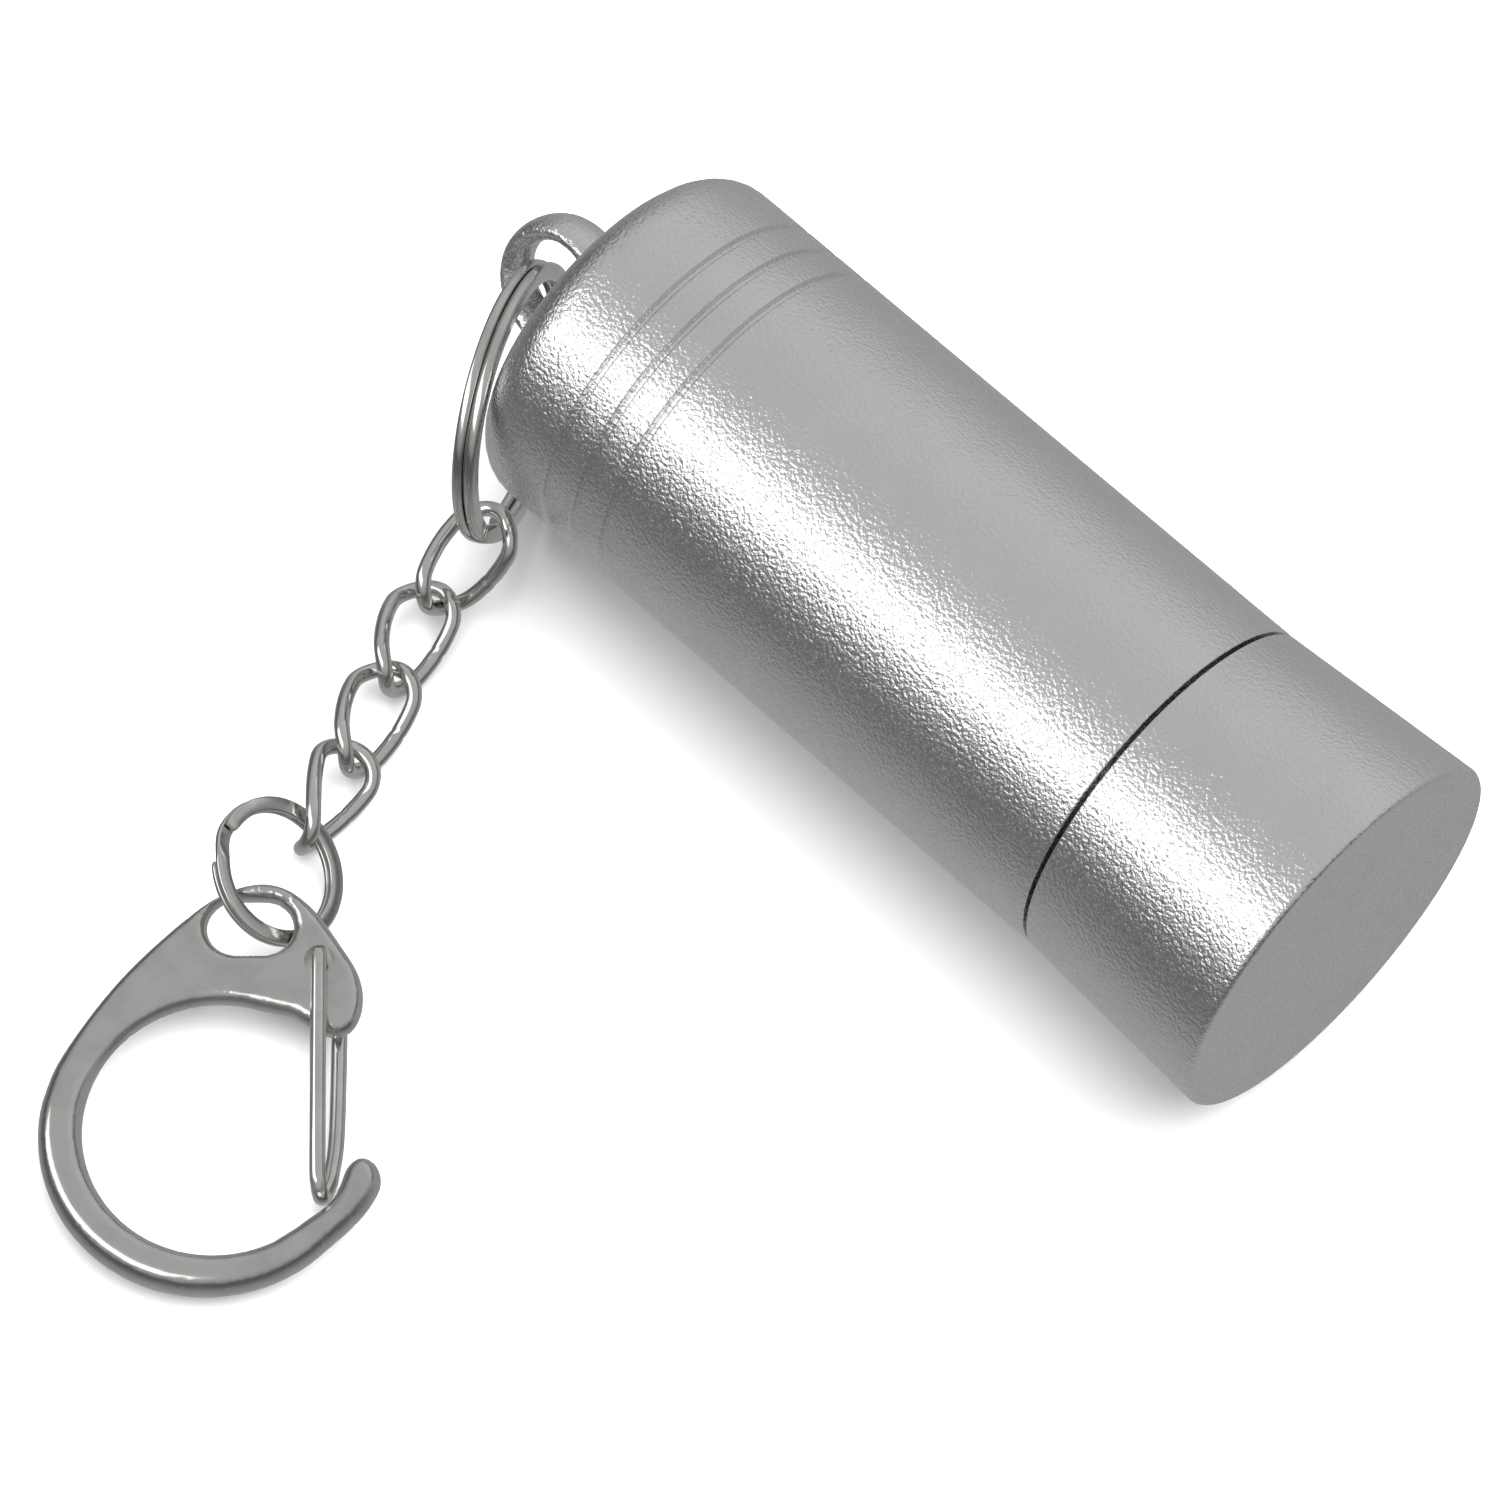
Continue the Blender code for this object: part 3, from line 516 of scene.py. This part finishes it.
def blasted_aluminium(name, tone=0.80):
    """Bead-blasted, clear anodised aluminium: a fine grain of shallow dimples."""
    material, tree, shader = new_material(name, 1.0)
    tree.links.new(ramp(tree, noise(tree, 260.0, 3.0), [(0.3, tone * 0.96), (0.7, tone)]),
                   shader.inputs["Base Color"])
    grain = noise(tree, 3500.0, 1.5, 0.5)
    tree.links.new(ramp(tree, grain, [(0.3, 0.20), (0.75, 0.30)]), shader.inputs["Roughness"])
    dimples = bump(tree, grain, 1.0, 0.085 * MM)
    pits = ramp(tree, cells(tree, 380.0), [(0.03, 0.0), (0.07, 1.0)])
    tree.links.new(bump(tree, pits, 0.5, 0.03 * MM, dimples), shader.inputs["Normal"])
    return material


def plated(name, tone, rough, wave=0.15, tint=(1.0, 0.985, 0.96)):
    """Bright nickel plate with tumbling marks, fine pits and slight waviness."""
    material, tree, shader = new_material(name, 1.0)
    marks = noise(tree, (900.0, 2600.0, 1500.0), 4.0, 0.6, 0.4)
    colour = tuple(tone * c for c in tint)
    dark = tuple(tone * 0.9 * c for c in tint)
    tree.links.new(ramp(tree, noise(tree, 380.0, 3.0), [(0.35, dark), (0.6, colour)]),
                   shader.inputs["Base Color"])
    tree.links.new(ramp(tree, marks, [(0.3, rough * 0.7), (0.7, rough * 1.5)]),
                   shader.inputs["Roughness"])
    broad = bump(tree, noise(tree, 420.0, 1.0), wave, 0.08 * MM)
    fine = bump(tree, marks, wave * 0.4, 0.01 * MM, broad)
    pits = ramp(tree, cells(tree, 700.0), [(0.03, 0.0), (0.09, 1.0)])
    tree.links.new(bump(tree, pits, 0.2, 0.02 * MM, fine), shader.inputs["Normal"])
    return material


def turned_steel(name, tone, rough, ring_scale=5200.0):
    """Machined steel with fine turning marks along the axis."""
    material, tree, shader = new_material(name, 1.0)
    marks = noise(tree, (ring_scale, 40.0, 40.0), 2.0)
    tree.links.new(ramp(tree, noise(tree, 500.0), [(0.3, tone * 0.85), (0.7, tone)]),
                   shader.inputs["Base Color"])
    tree.links.new(ramp(tree, marks, [(0.3, rough * 0.8), (0.7, rough * 1.3)]),
                   shader.inputs["Roughness"])
    tree.links.new(bump(tree, marks, 0.2, 0.02 * MM), shader.inputs["Normal"])
    return material


def moulded(name, colour, rough, grain_scale=2500.0, strength=0.3):
    """Rubber or plastic with a fine moulded grain."""
    material, tree, shader = new_material(name, 0.0)
    light = tuple(min(1.0, c * 1.35 + 0.004) for c in colour)
    tree.links.new(ramp(tree, noise(tree, 600.0, 4.0), [(0.3, colour), (0.7, light)]),
                   shader.inputs["Base Color"])
    grain = noise(tree, grain_scale, 3.0)
    tree.links.new(ramp(tree, grain, [(0.3, rough - 0.08), (0.7, rough + 0.08)]),
                   shader.inputs["Roughness"])
    tree.links.new(bump(tree, grain, strength, 0.03 * MM), shader.inputs["Normal"])
    return material


# --------------------------------------------------------------------- cylinder

def lug_plane():
    return (Matrix.Translation((-TAIL_DEPTH, 0.0, 0.0)) @ Matrix.Rotation(LUG_TURN, 4, "X"))


def build_lug(material):
    outline = [(LUG_ROOT, -LUG_NECK), (LUG_ROOT, LUG_NECK), (-GAP, LUG_NECK)]
    outline += arc(-LUG_CENTRE, 0.0, LUG_RADIUS * FLAT_INSET, 50, 310, 60)
    outline += [(-GAP, -LUG_NECK)]
    hole = arc(-LUG_HOLE_OFFSET, 0.0, LUG_HOLE_RADIUS, 0, 355, 71)
    lug = cushioned("lug", outline, [hole],
                    lambda p: np.full(len(p), LUG_HALF_THICKNESS * FLAT_INSET),
                    lambda p: np.full(len(p), LUG_EDGE), LUG_HOLE_EDGE, material, LUG_SPACING)
    lug.matrix_world = lug_plane()
    return settle(lug)


def build_sleeve(material):
    shoulder = SEAM_DEPTH + GAP / 2 + SEAM_OPENING
    corners = [(NOSE_DEPTH, BORE_RADIUS, 0.25 * MM), (NOSE_DEPTH, NOSE_RADIUS, 0.35 * MM),
               (THREAD_DEPTH, NOSE_RADIUS)]
    depth = THREAD_DEPTH
    while depth + THREAD_PITCH < shoulder - THREAD_RELIEF:
        corners.append((depth + THREAD_PITCH * 0.28, THREAD_RADIUS, THREAD_EDGE))
        corners.append((depth + THREAD_PITCH * 0.50, THREAD_RADIUS, THREAD_EDGE))
        corners.append((depth + THREAD_PITCH * 0.95, THREAD_RADIUS - THREAD_CUT, THREAD_EDGE))
        depth += THREAD_PITCH
    corners.append((shoulder, THREAD_RADIUS - THREAD_CUT))
    corners.append((shoulder, BODY_RADIUS, SEAM_EDGE))
    for groove in GROOVE_DEPTHS:
        floor = BODY_RADIUS - GROOVE_CUT
        corners.append((groove - GROOVE_HALF_WIDTH, BODY_RADIUS, GROOVE_EDGE))
        corners.append((groove - GROOVE_FLOOR_HALF_WIDTH, floor, GROOVE_FLOOR_EDGE))
        corners.append((groove + GROOVE_FLOOR_HALF_WIDTH, floor, GROOVE_FLOOR_EDGE))
        corners.append((groove + GROOVE_HALF_WIDTH, BODY_RADIUS, GROOVE_EDGE))
    corners.append((TAIL_DEPTH, BODY_RADIUS, TAIL_ROUNDING))
    corners.append((TAIL_DEPTH, 0.0))
    corners.append((BORE_END_DEPTH, 0.0))
    corners.append((BORE_END_DEPTH, BORE_RADIUS))
    groove_back, groove_front, groove_cut = SNAP_GROOVE
    corners.append((STACK_DEPTH - groove_back, BORE_RADIUS))
    corners.append((STACK_DEPTH - groove_back, BORE_RADIUS + groove_cut))
    corners.append((STACK_DEPTH - groove_front, BORE_RADIUS + groove_cut))
    corners.append((STACK_DEPTH - groove_front, BORE_RADIUS))
    sleeve = revolve("sleeve_look", corners, material)
    lug = build_lug(material)
    return boolean(sleeve, lug, "UNION")


def build_cap(material):
    back = SEAM_DEPTH - GAP / 2
    flare = (CAP_FRONT_RADIUS - BODY_RADIUS) / back
    cavity = NOSE_RADIUS + NOSE_CLEARANCE
    thread_bore = THREAD_RADIUS + THREAD_CLEARANCE
    step = THREAD_DEPTH - GAP
    corners = [(0.0, 0.0), (0.0, CAP_FRONT_RADIUS, 0.45 * MM),
               (back * 0.5, CAP_FRONT_RADIUS - flare * back * 0.5),
               (back, BODY_RADIUS, SEAM_EDGE), (back, thread_bore, 0.2 * MM)]
    depth = back - 0.6 * MM
    while depth - THREAD_PITCH > step + GAP:
        corners.append((depth, thread_bore, 0.05 * MM))
        corners.append((depth - THREAD_PITCH * 0.4, thread_bore + THREAD_CLEARANCE, 0.05 * MM))
        corners.append((depth - THREAD_PITCH * 0.8, thread_bore, 0.05 * MM))
        depth -= THREAD_PITCH
    corners += [(step, thread_bore), (step, cavity), (CAP_WALL, cavity), (CAP_WALL, 0.0)]
    return revolve("cap_look", corners, material)


def disc(name, front, back, radius, material, edge=0.25 * MM):
    return revolve(name, [(front, 0.0), (front, radius, edge), (back, radius, edge), (back, 0.0)],
                   material, STEPS_INSIDE)


def washer(name, front, back, inner, outer, material, edge=0.2 * MM):
    return revolve(name, [(front, inner, edge), (front, outer, edge), (back, outer, edge),
                          (back, inner, edge)], material, STEPS_INSIDE)


def build_seal(material):
    centre_depth = SEAM_DEPTH - GAP / 2 - 0.35 * MM
    centre_radius = THREAD_RADIUS - THREAD_CUT + 0.42 * MM
    corners = [(centre_depth - SEAL_HALF_LENGTH * cos(a), centre_radius + SEAL_HALF_HEIGHT * sin(a))
               for a in (2 * pi * i / 14 for i in range(14))]
    return revolve("seal_look", corners, material, 120, 80)


def build_snap_ring(material):
    """Open ring of flat spring steel."""
    outer = (BORE_RADIUS + 0.2 * MM) * 0.998
    middle = STACK_DEPTH - SNAP_FRONT + 0.3 * MM
    centre_radius = outer - SNAP_WIDTH / 2
    count = 90
    points, ups = [], []
    for i in range(count + 1):
        angle = -pi / 2 + SNAP_HALF_OPENING + (2 * pi - 2 * SNAP_HALF_OPENING) * i / count
        points.append(Vector((-middle, centre_radius * cos(angle), centre_radius * sin(angle))))
        ups.append(Vector((1.0, 0.0, 0.0)))
    wide = rounded_rectangle(SNAP_WIDTH, SNAP_THICKNESS, 0.12 * MM)
    return sweep("snap_ring_look", points, ups, lambda t: wide, material, False)


def rounded_rectangle(width, height, radius, corner_steps=3):
    points = []
    for sign_x, sign_y, start in ((1, 1, 0), (-1, 1, 90), (-1, -1, 180), (1, -1, 270)):
        centre = (sign_x * (width / 2 - radius), sign_y * (height / 2 - radius))
        points += arc(*centre, radius, start, start + 90, corner_steps)
    return points


def build_wave_washer(front, material):
    outer = BORE_RADIUS - GAP
    inner = outer - WASHER_WIDTH
    middle = front + WASHER_THICKNESS / 2 + WASHER_SWING
    points, ups = [], []
    for i in range(WASHER_STEPS):
        angle = 2 * pi * i / WASHER_STEPS
        lift = WASHER_LIFT * cos(WASHER_WAVES * angle)
        points.append(Vector((-middle + lift, (outer + inner) / 2 * cos(angle),
                              (outer + inner) / 2 * sin(angle))))
        ups.append(Vector((1.0, 0.0, 0.0)))
    strip = rounded_rectangle(WASHER_WIDTH * WIRE_INSET, WASHER_STRIP, 0.08 * MM)
    return sweep("wave_washer_look", points, ups, lambda t: strip, material, True)


# --------------------------------------------------------------- rings and links

def basis(x_axis, z_axis):
    x = Vector(x_axis).normalized()
    y = Vector(z_axis).cross(x).normalized()
    return Matrix((x, y, x.cross(y))).transposed()


def split_ring(name, radius, band, layer, pitch, centre, rotation, material):
    """Two turns of pressed wire joined by a crossover, with bevelled cut ends."""
    crossover = RING_CROSSOVER
    count = RING_STEPS
    points, ups = [], []
    for i in range(count + 1):
        angle = crossover + (4 * pi - 2 * crossover) * i / count
        rise = min(max((angle - (2 * pi - crossover)) / (2 * crossover), 0.0), 1.0)
        rise = rise * rise * (3 - 2 * rise)
        local = Vector((radius * cos(angle), radius * sin(angle), pitch * (rise - 0.5)))
        points.append(centre + rotation @ local)
        ups.append(rotation @ Vector((0.0, 0.0, 1.0)))
    full = rounded_rectangle(band * WIRE_INSET, layer * WIRE_INSET, layer * 0.38, 4)

    def section(t):
        end = min(t, 1 - t) * count
        scale = 1.0 if end >= 1.5 else 0.80 + 0.20 * end / 1.5
        return [(a * scale, b * scale) for a, b in full]

    return sweep(name, points, ups, section, material, False)


def ring_rotation():
    up = Vector((0.0, 0.0, 1.0))
    rotation = basis(up - up.dot(RING_NORMAL) * RING_NORMAL, RING_NORMAL)
    return rotation @ Matrix.Rotation(RING_ENDS, 3, "Z")


def small_ring_rotation():
    return (Matrix.Rotation(HOOK_HEADING + SMALL_RING_HIGH_SIDE, 3, "Z")
            @ Matrix.Rotation(-SMALL_RING_TILT, 3, "Y") @ Matrix.Rotation(SMALL_RING_ENDS, 3, "Z"))


def chain_layout():
    heading = Vector((cos(CHAIN_HEADING), sin(CHAIN_HEADING), 0.0))
    links = [(LINK_1_REAR, (LINK_1_FRONT - LINK_1_REAR).normalized())]
    front = CHAIN_START
    last = CHAIN_HEADING + LINK_4_TURN
    last = Vector((cos(last) * cos(LINK_4_CLIMB), sin(last) * cos(LINK_4_CLIMB), sin(LINK_4_CLIMB)))
    for direction in (heading, heading, last):
        rear = front - direction * (WIRE + GAP)
        front = rear + direction * LINK_LENGTH
        links.append((rear, direction))
    return links


def build_link(number, rear, direction, material):
    """Twisted oval of round wire, with a fine seam where its ends were closed."""
    roll = LINK_4_ROLL if number == 4 else LINK_ROLL
    half_width, straight = LINK_WIDTH / 2, LINK_LENGTH - LINK_WIDTH
    flat = arc(straight / 2, 0.0, half_width, -90, 90, 28)
    flat += [(straight / 2 - straight * i / 16, half_width) for i in range(1, 16)]
    flat += arc(-straight / 2, 0.0, half_width, 90, 270, 28)
    flat += [(-straight / 2 + straight * i / 16, -half_width) for i in range(1, 16)]
    turn_to_world = basis(direction, (0.0, 0.0, 1.0))
    points, ups = [], []
    for x, y in flat:
        turn = roll - LINK_TWIST * x / (LINK_LENGTH / 2)
        local = Vector((LINK_LENGTH / 2 + x, y * cos(turn), y * sin(turn)))
        points.append(rear + turn_to_world @ local)
        ups.append(turn_to_world @ Vector((0.0, -sin(turn), cos(turn))))
    count = len(points)
    seam = 29 + 7

    def section(t):
        at = round(t * count)
        radius = WIRE / 2 * (0.90 if at == seam else 0.99)
        return [(radius * cos(a), radius * sin(a)) for a in (2 * pi * k / 20 for k in range(20))]

    return sweep(f"link_{number}_look", points, ups, section, material, True, 70)


# ------------------------------------------------------------------------- hook

def hook_matrix():
    return (Matrix.Translation(HOOK_ORIGIN) @ Matrix.Rotation(HOOK_HEADING, 4, "Z")
            @ Matrix.Rotation(HOOK_TILT, 4, "X"))


def hook_outline():
    shoulder = [(-11.9, 1.6), (-11.05, 4.1), (-9.15, 7.3), (-6.8, 10.5), (-4.1, 13.4), (-1.2, 16.0),
                (0.8, 17.2), (3.0, 17.7), (4.9, 17.2), (6.7, 15.7), (8.5, 13.2), (9.9, 10.8),
                (10.2, 8.6), (9.5, 6.8), (8.0, 6.3), (6.4, 7.1), (4.9, 7.9)]
    nose = [(9.3, -8.2), (10.8, -6.5), (11.7, -4.7), (11.35, -3.3), (10.3, -2.8), (9.35, -3.5),
            (8.85, -4.9), (8.1, -6.2), (6.6, -7.4), (5.2, -8.4)]
    outer = arc(-0.3, -0.9, 11.9, 167, 312, 60)
    inner = arc(0.2, -0.6, 9.35, -64, -286, 80)
    loop = smooth_path([outer[-1]] + nose + [inner[4]], 8)[:-1]
    loop += inner
    loop += smooth_path([inner[-5]] + shoulder[::-1] + [outer[3]], 8)
    loop += outer[1:-1]
    return [(x * MM, y * MM) for x, y in loop]


def build_hook(material):
    centre_x, centre_y = EYE_CENTRE
    eye = arc(centre_x + EYE_REACH, centre_y, EYE_RADIUS, -90, 90, 24)
    eye += arc(centre_x - EYE_REACH, centre_y, EYE_RADIUS, 90, 270, 24)

    def thickness(points):
        t = np.clip(points[:, 1] / PLATE_TAPER, 0.0, 1.0)
        t = t * t * (3 - 2 * t)
        return (BOW_HALF_THICKNESS + (PLATE_HALF_THICKNESS - BOW_HALF_THICKNESS) * t) * FLAT_INSET

    def edge(points):
        start, length = EDGE_TAPER
        t = np.clip((points[:, 1] - start) / length, 0.0, 1.0)
        return BOW_EDGE - (BOW_EDGE - PLATE_EDGE) * t * t * (3 - 2 * t)

    hook = cushioned("hook_look", hook_outline(), [eye], thickness, edge, EYE_EDGE, material,
                     HOOK_SPACING)
    for side, (x, y) in ((1, GATE_TOP_PIVOT), (-1, GATE_BOTTOM_PIVOT)):
        place = Matrix.Translation((x, y, side * PIVOT_HOLE_MIDDLE))
        hole = cylinder("hole", place, PIVOT_HOLE_RADIUS, PIVOT_HOLE_DEPTH, material)
        hook = boolean(hook, hole, "DIFFERENCE")
    hook.matrix_world = hook_matrix()
    return settle(hook)


def build_gate(material):
    top_x, top_y = GATE_TOP_PIVOT
    low_x, low_y = GATE_BOTTOM_PIVOT
    height = PLATE_HALF_THICKNESS + GAP + GATE_WIRE / 2
    end = GATE_END
    top = [(top_x, top_y, end - 0.2 * MM), (top_x, top_y, end), (top_x, top_y, height - 0.75 * MM),
           (top_x, top_y - 0.2 * MM, height - 0.25 * MM), (top_x, top_y - 0.8 * MM, height)]
    low = [(low_x, low_y - 0.8 * MM, -height), (low_x, low_y - 0.2 * MM, -height + 0.25 * MM),
           (low_x, low_y, -height + 0.75 * MM), (low_x, low_y, -end), (low_x, low_y, -end + 0.2 * MM)]
    nose = [(7.3, 0.0, 1.75), (7.35, -4.0, 1.35), (7.42, -4.9, 1.1), (7.5, -5.4, 0.5),
            (7.6, -5.5, -0.2), (7.75, -5.2, -0.85), (8.0, -4.4, -1.2), (8.2, -3.4, -1.35),
            (8.5, 0.0, -1.65)]
    path = smooth_path(top + [(x * MM, y * MM, z * MM) for x, y, z in nose] + low, 6)
    matrix = hook_matrix()
    points = [matrix @ Vector(p) for p in path]
    side = (matrix.to_3x3() @ Vector((1.0, 0.0, 0.0))).normalized()
    circle = [(WIRE_INSET * GATE_WIRE / 2 * cos(a), WIRE_INSET * GATE_WIRE / 2 * sin(a))
              for a in (2 * pi * k / 22 for k in range(22))]
    return sweep("gate_look", points, [side] * len(points), lambda t: circle, material, False, 70)


# -------------------------------------------------------------------- the scene

def show(item, node, body):
    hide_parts(node)
    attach(item, body)


def build_inner_pieces():
    steel = turned_steel("inner steel", 0.55, 0.32)
    rubber = moulded("black rubber", (0.035, 0.035, 0.036), 0.7)
    magnet = plated("magnet plating", 0.72, 0.2, 0.06)
    keeper_front = CAP_WALL + GAP
    keeper_back = keeper_front + KEEPER_THICKNESS
    liner_front = keeper_back + LINER_GAP
    show(disc("keeper_look", keeper_front, keeper_back, NOSE_RADIUS, steel),
         "keeper_plate", "cap_carrier")
    show(disc("liner_look", liner_front, liner_front + LINER_THICKNESS, NOSE_RADIUS, rubber),
         "cap_liner", "cap_carrier")
    show(build_seal(rubber), "thread_o_ring", "handle")
    show(build_snap_ring(steel), "snap_ring", "handle")
    show(washer("ring_magnet_look", STACK_DEPTH, STACK_DEPTH + MAGNET_LENGTH,
                MAGNET_RECESS_RADIUS / INSET, MAGNET_RADIUS, magnet),
         "ring_magnet", "handle")
    front = STACK_DEPTH + MAGNET_LENGTH + GAP
    for number in (1, 2, 3):
        node = f"disc_magnet_{number}"
        show(disc(node + "_look", front, front + MAGNET_LENGTH, MAGNET_RADIUS, magnet),
             node, "handle")
        front += MAGNET_LENGTH + GAP
    inner = MAGNET_RADIUS + GAP
    outer = inner + YOKE_WALL
    back = front + YOKE_FLOOR
    show(revolve("yoke_look", [(STACK_DEPTH, inner / INSET), (STACK_DEPTH, outer, 0.3 * MM),
                               (back, outer, 0.3 * MM), (back, 0.0), (back - YOKE_FLOOR, 0.0),
                               (back - YOKE_FLOOR, inner / INSET)], steel, STEPS_INSIDE),
         "yoke_cup", "handle")
    show(build_wave_washer(back + GAP, steel), "wave_washer", "handle")
    plastic = moulded("black plastic", (0.05, 0.05, 0.055), 0.45)
    start = back + GAP + WASHER_THICKNESS + 2 * WASHER_SWING + GAP
    end = BORE_END_DEPTH - GAP
    outer = BORE_RADIUS - GAP
    show(revolve("spacer_look", [(start, outer - SPACER_WALL), (start, outer, 0.3 * MM),
                                 (end, outer, 0.5 * MM), (end, 0.0), (end - SPACER_WALL, 0.0),
                                 (end - SPACER_WALL, outer - SPACER_WALL)], plastic, STEPS_INSIDE),
         "back_spacer", "handle")


def build_outer_pieces():
    body_metal = blasted_aluminium("blasted sleeve")
    cap_metal = blasted_aluminium("blasted cap")
    wire_metal = plated("bright nickel", 0.74, 0.10)
    ring_metal = plated("ring nickel", 0.70, 0.12)
    cast_metal = plated("cast nickel", 0.66, 0.17, 0.25)
    show(build_sleeve(body_metal), "body_sleeve", "handle")
    show(build_cap(cap_metal), "front_cap", "cap")
    show(split_ring("split_ring_look", RING_RADIUS, RING_BAND, RING_LAYER, RING_PITCH, RING_CENTRE,
                    ring_rotation(), ring_metal), "split_ring", "split_ring")
    for number, (rear, direction) in enumerate(chain_layout(), start=1):
        show(build_link(number, rear, direction, wire_metal), f"chain_link_{number}",
             f"link_{number}")
    show(split_ring("small_ring_look", SMALL_RING_RADIUS, SMALL_RING_BAND, SMALL_RING_LAYER,
                    SMALL_RING_PITCH, SMALL_RING_CENTRE, small_ring_rotation(), ring_metal),
         "small_split_ring", "small_ring")
    show(build_hook(cast_metal), "hook_body", "hook")
    show(build_gate(wire_metal), "gate_wire", "gate")


def softbox(name, direction, distance, size, radiance):
    """A rectangular light facing the object, with its long side along X."""
    data = bpy.data.lights.new(name, "AREA")
    data.shape = "RECTANGLE"
    data.size, data.size_y = size
    data.energy = radiance * pi * size[0] * size[1]
    item = bpy.data.objects.new(name, data)
    away = Vector(direction).normalized()
    along = (Vector((1.0, 0.0, 0.0)) - away.x * away).normalized()
    place = Matrix((along, away.cross(along), away)).transposed().to_4x4()
    place.translation = KEY_AIM + away * distance
    item.matrix_world = place
    bpy.context.scene.collection.objects.link(item)
    return item


def build_sky():
    """Soft surround: pale above, dim at the horizon on the near side, pale on the far side."""
    world = bpy.data.worlds.new("studio")
    bpy.context.scene.world = world
    world.use_nodes = True
    tree = world.node_tree
    background = tree.nodes["Background"]
    place = tree.nodes.new("ShaderNodeTexCoord")
    split = tree.nodes.new("ShaderNodeSeparateXYZ")
    tree.links.new(place.outputs["Generated"], split.inputs["Vector"])
    height = tree.nodes.new("ShaderNodeMapRange")
    height.inputs["From Min"].default_value = -1.0
    height.inputs["From Max"].default_value = 1.0
    tree.links.new(split.outputs["Z"], height.inputs["Value"])
    side = tree.nodes.new("ShaderNodeMapRange")
    side.inputs["From Min"].default_value = 0.2
    side.inputs["From Max"].default_value = 0.75
    tree.links.new(split.outputs["Y"], side.inputs["Value"])
    near = ramp(tree, height.outputs["Result"],
                [(0.0, 0.42), (0.22, 0.30), (0.38, 0.15), (0.54, 0.12), (0.64, 0.35), (0.80, 0.50),
                 (1.0, 0.52)])
    far = ramp(tree, height.outputs["Result"],
               [(0.0, 0.40), (0.35, 0.38), (0.50, 0.42), (0.62, 0.52), (0.82, 0.62), (1.0, 0.54)])
    mix = tree.nodes.new("ShaderNodeMix")
    mix.data_type = "RGBA"
    tree.links.new(side.outputs["Result"], mix.inputs["Factor"])
    tree.links.new(near, mix.inputs["A"])
    tree.links.new(far, mix.inputs["B"])
    tree.links.new(mix.outputs["Result"], background.inputs["Color"])


def build_studio():
    material, tree, shader = new_material("pale floor", 0.0)
    tree.links.new(ramp(tree, noise(tree, 30.0, 2.0), [(0.3, 0.90), (0.7, 0.92)]),
                   shader.inputs["Base Color"])
    shader.inputs["Roughness"].default_value = 0.8
    half = FLOOR_HALF_WIDTH
    floor_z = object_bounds()[0][2] - FLOOR_GAP
    floor = make_object("floor", [(-half, -half, floor_z), (half, -half, floor_z),
                                  (half, half, floor_z), (-half, half, floor_z)],
                        [[0, 1, 2, 3]], material)
    floor.visible_glossy = False
    softbox("key", KEY_DIRECTION, KEY_DISTANCE, KEY_SIZE, KEY_RADIANCE)
    sun = bpy.data.lights.new("floor_light", "SUN")
    sun.energy = SUN_ENERGY
    sun.angle = SUN_ANGLE
    item = bpy.data.objects.new("floor_light", sun)
    item.rotation_euler = SUN_TILT
    item.visible_glossy = False
    bpy.context.scene.collection.objects.link(item)
    build_sky()


def build_camera():
    data = bpy.data.cameras.new("camera")
    data.lens = CAMERA_LENS
    data.sensor_width = CAMERA_SENSOR
    data.clip_start = 0.01
    item = bpy.data.objects.new("camera", data)
    place = Matrix((CAMERA_RIGHT, CAMERA_UP, CAMERA_BACK)).transposed().to_4x4()
    place.translation = CAMERA_PLACE
    item.matrix_world = place
    bpy.context.scene.collection.objects.link(item)
    bpy.context.scene.camera = item


build_outer_pieces()
build_inner_pieces()
build_studio()
build_camera()
bpy.context.scene.view_settings.view_transform = "Standard"
bpy.context.view_layer.update()
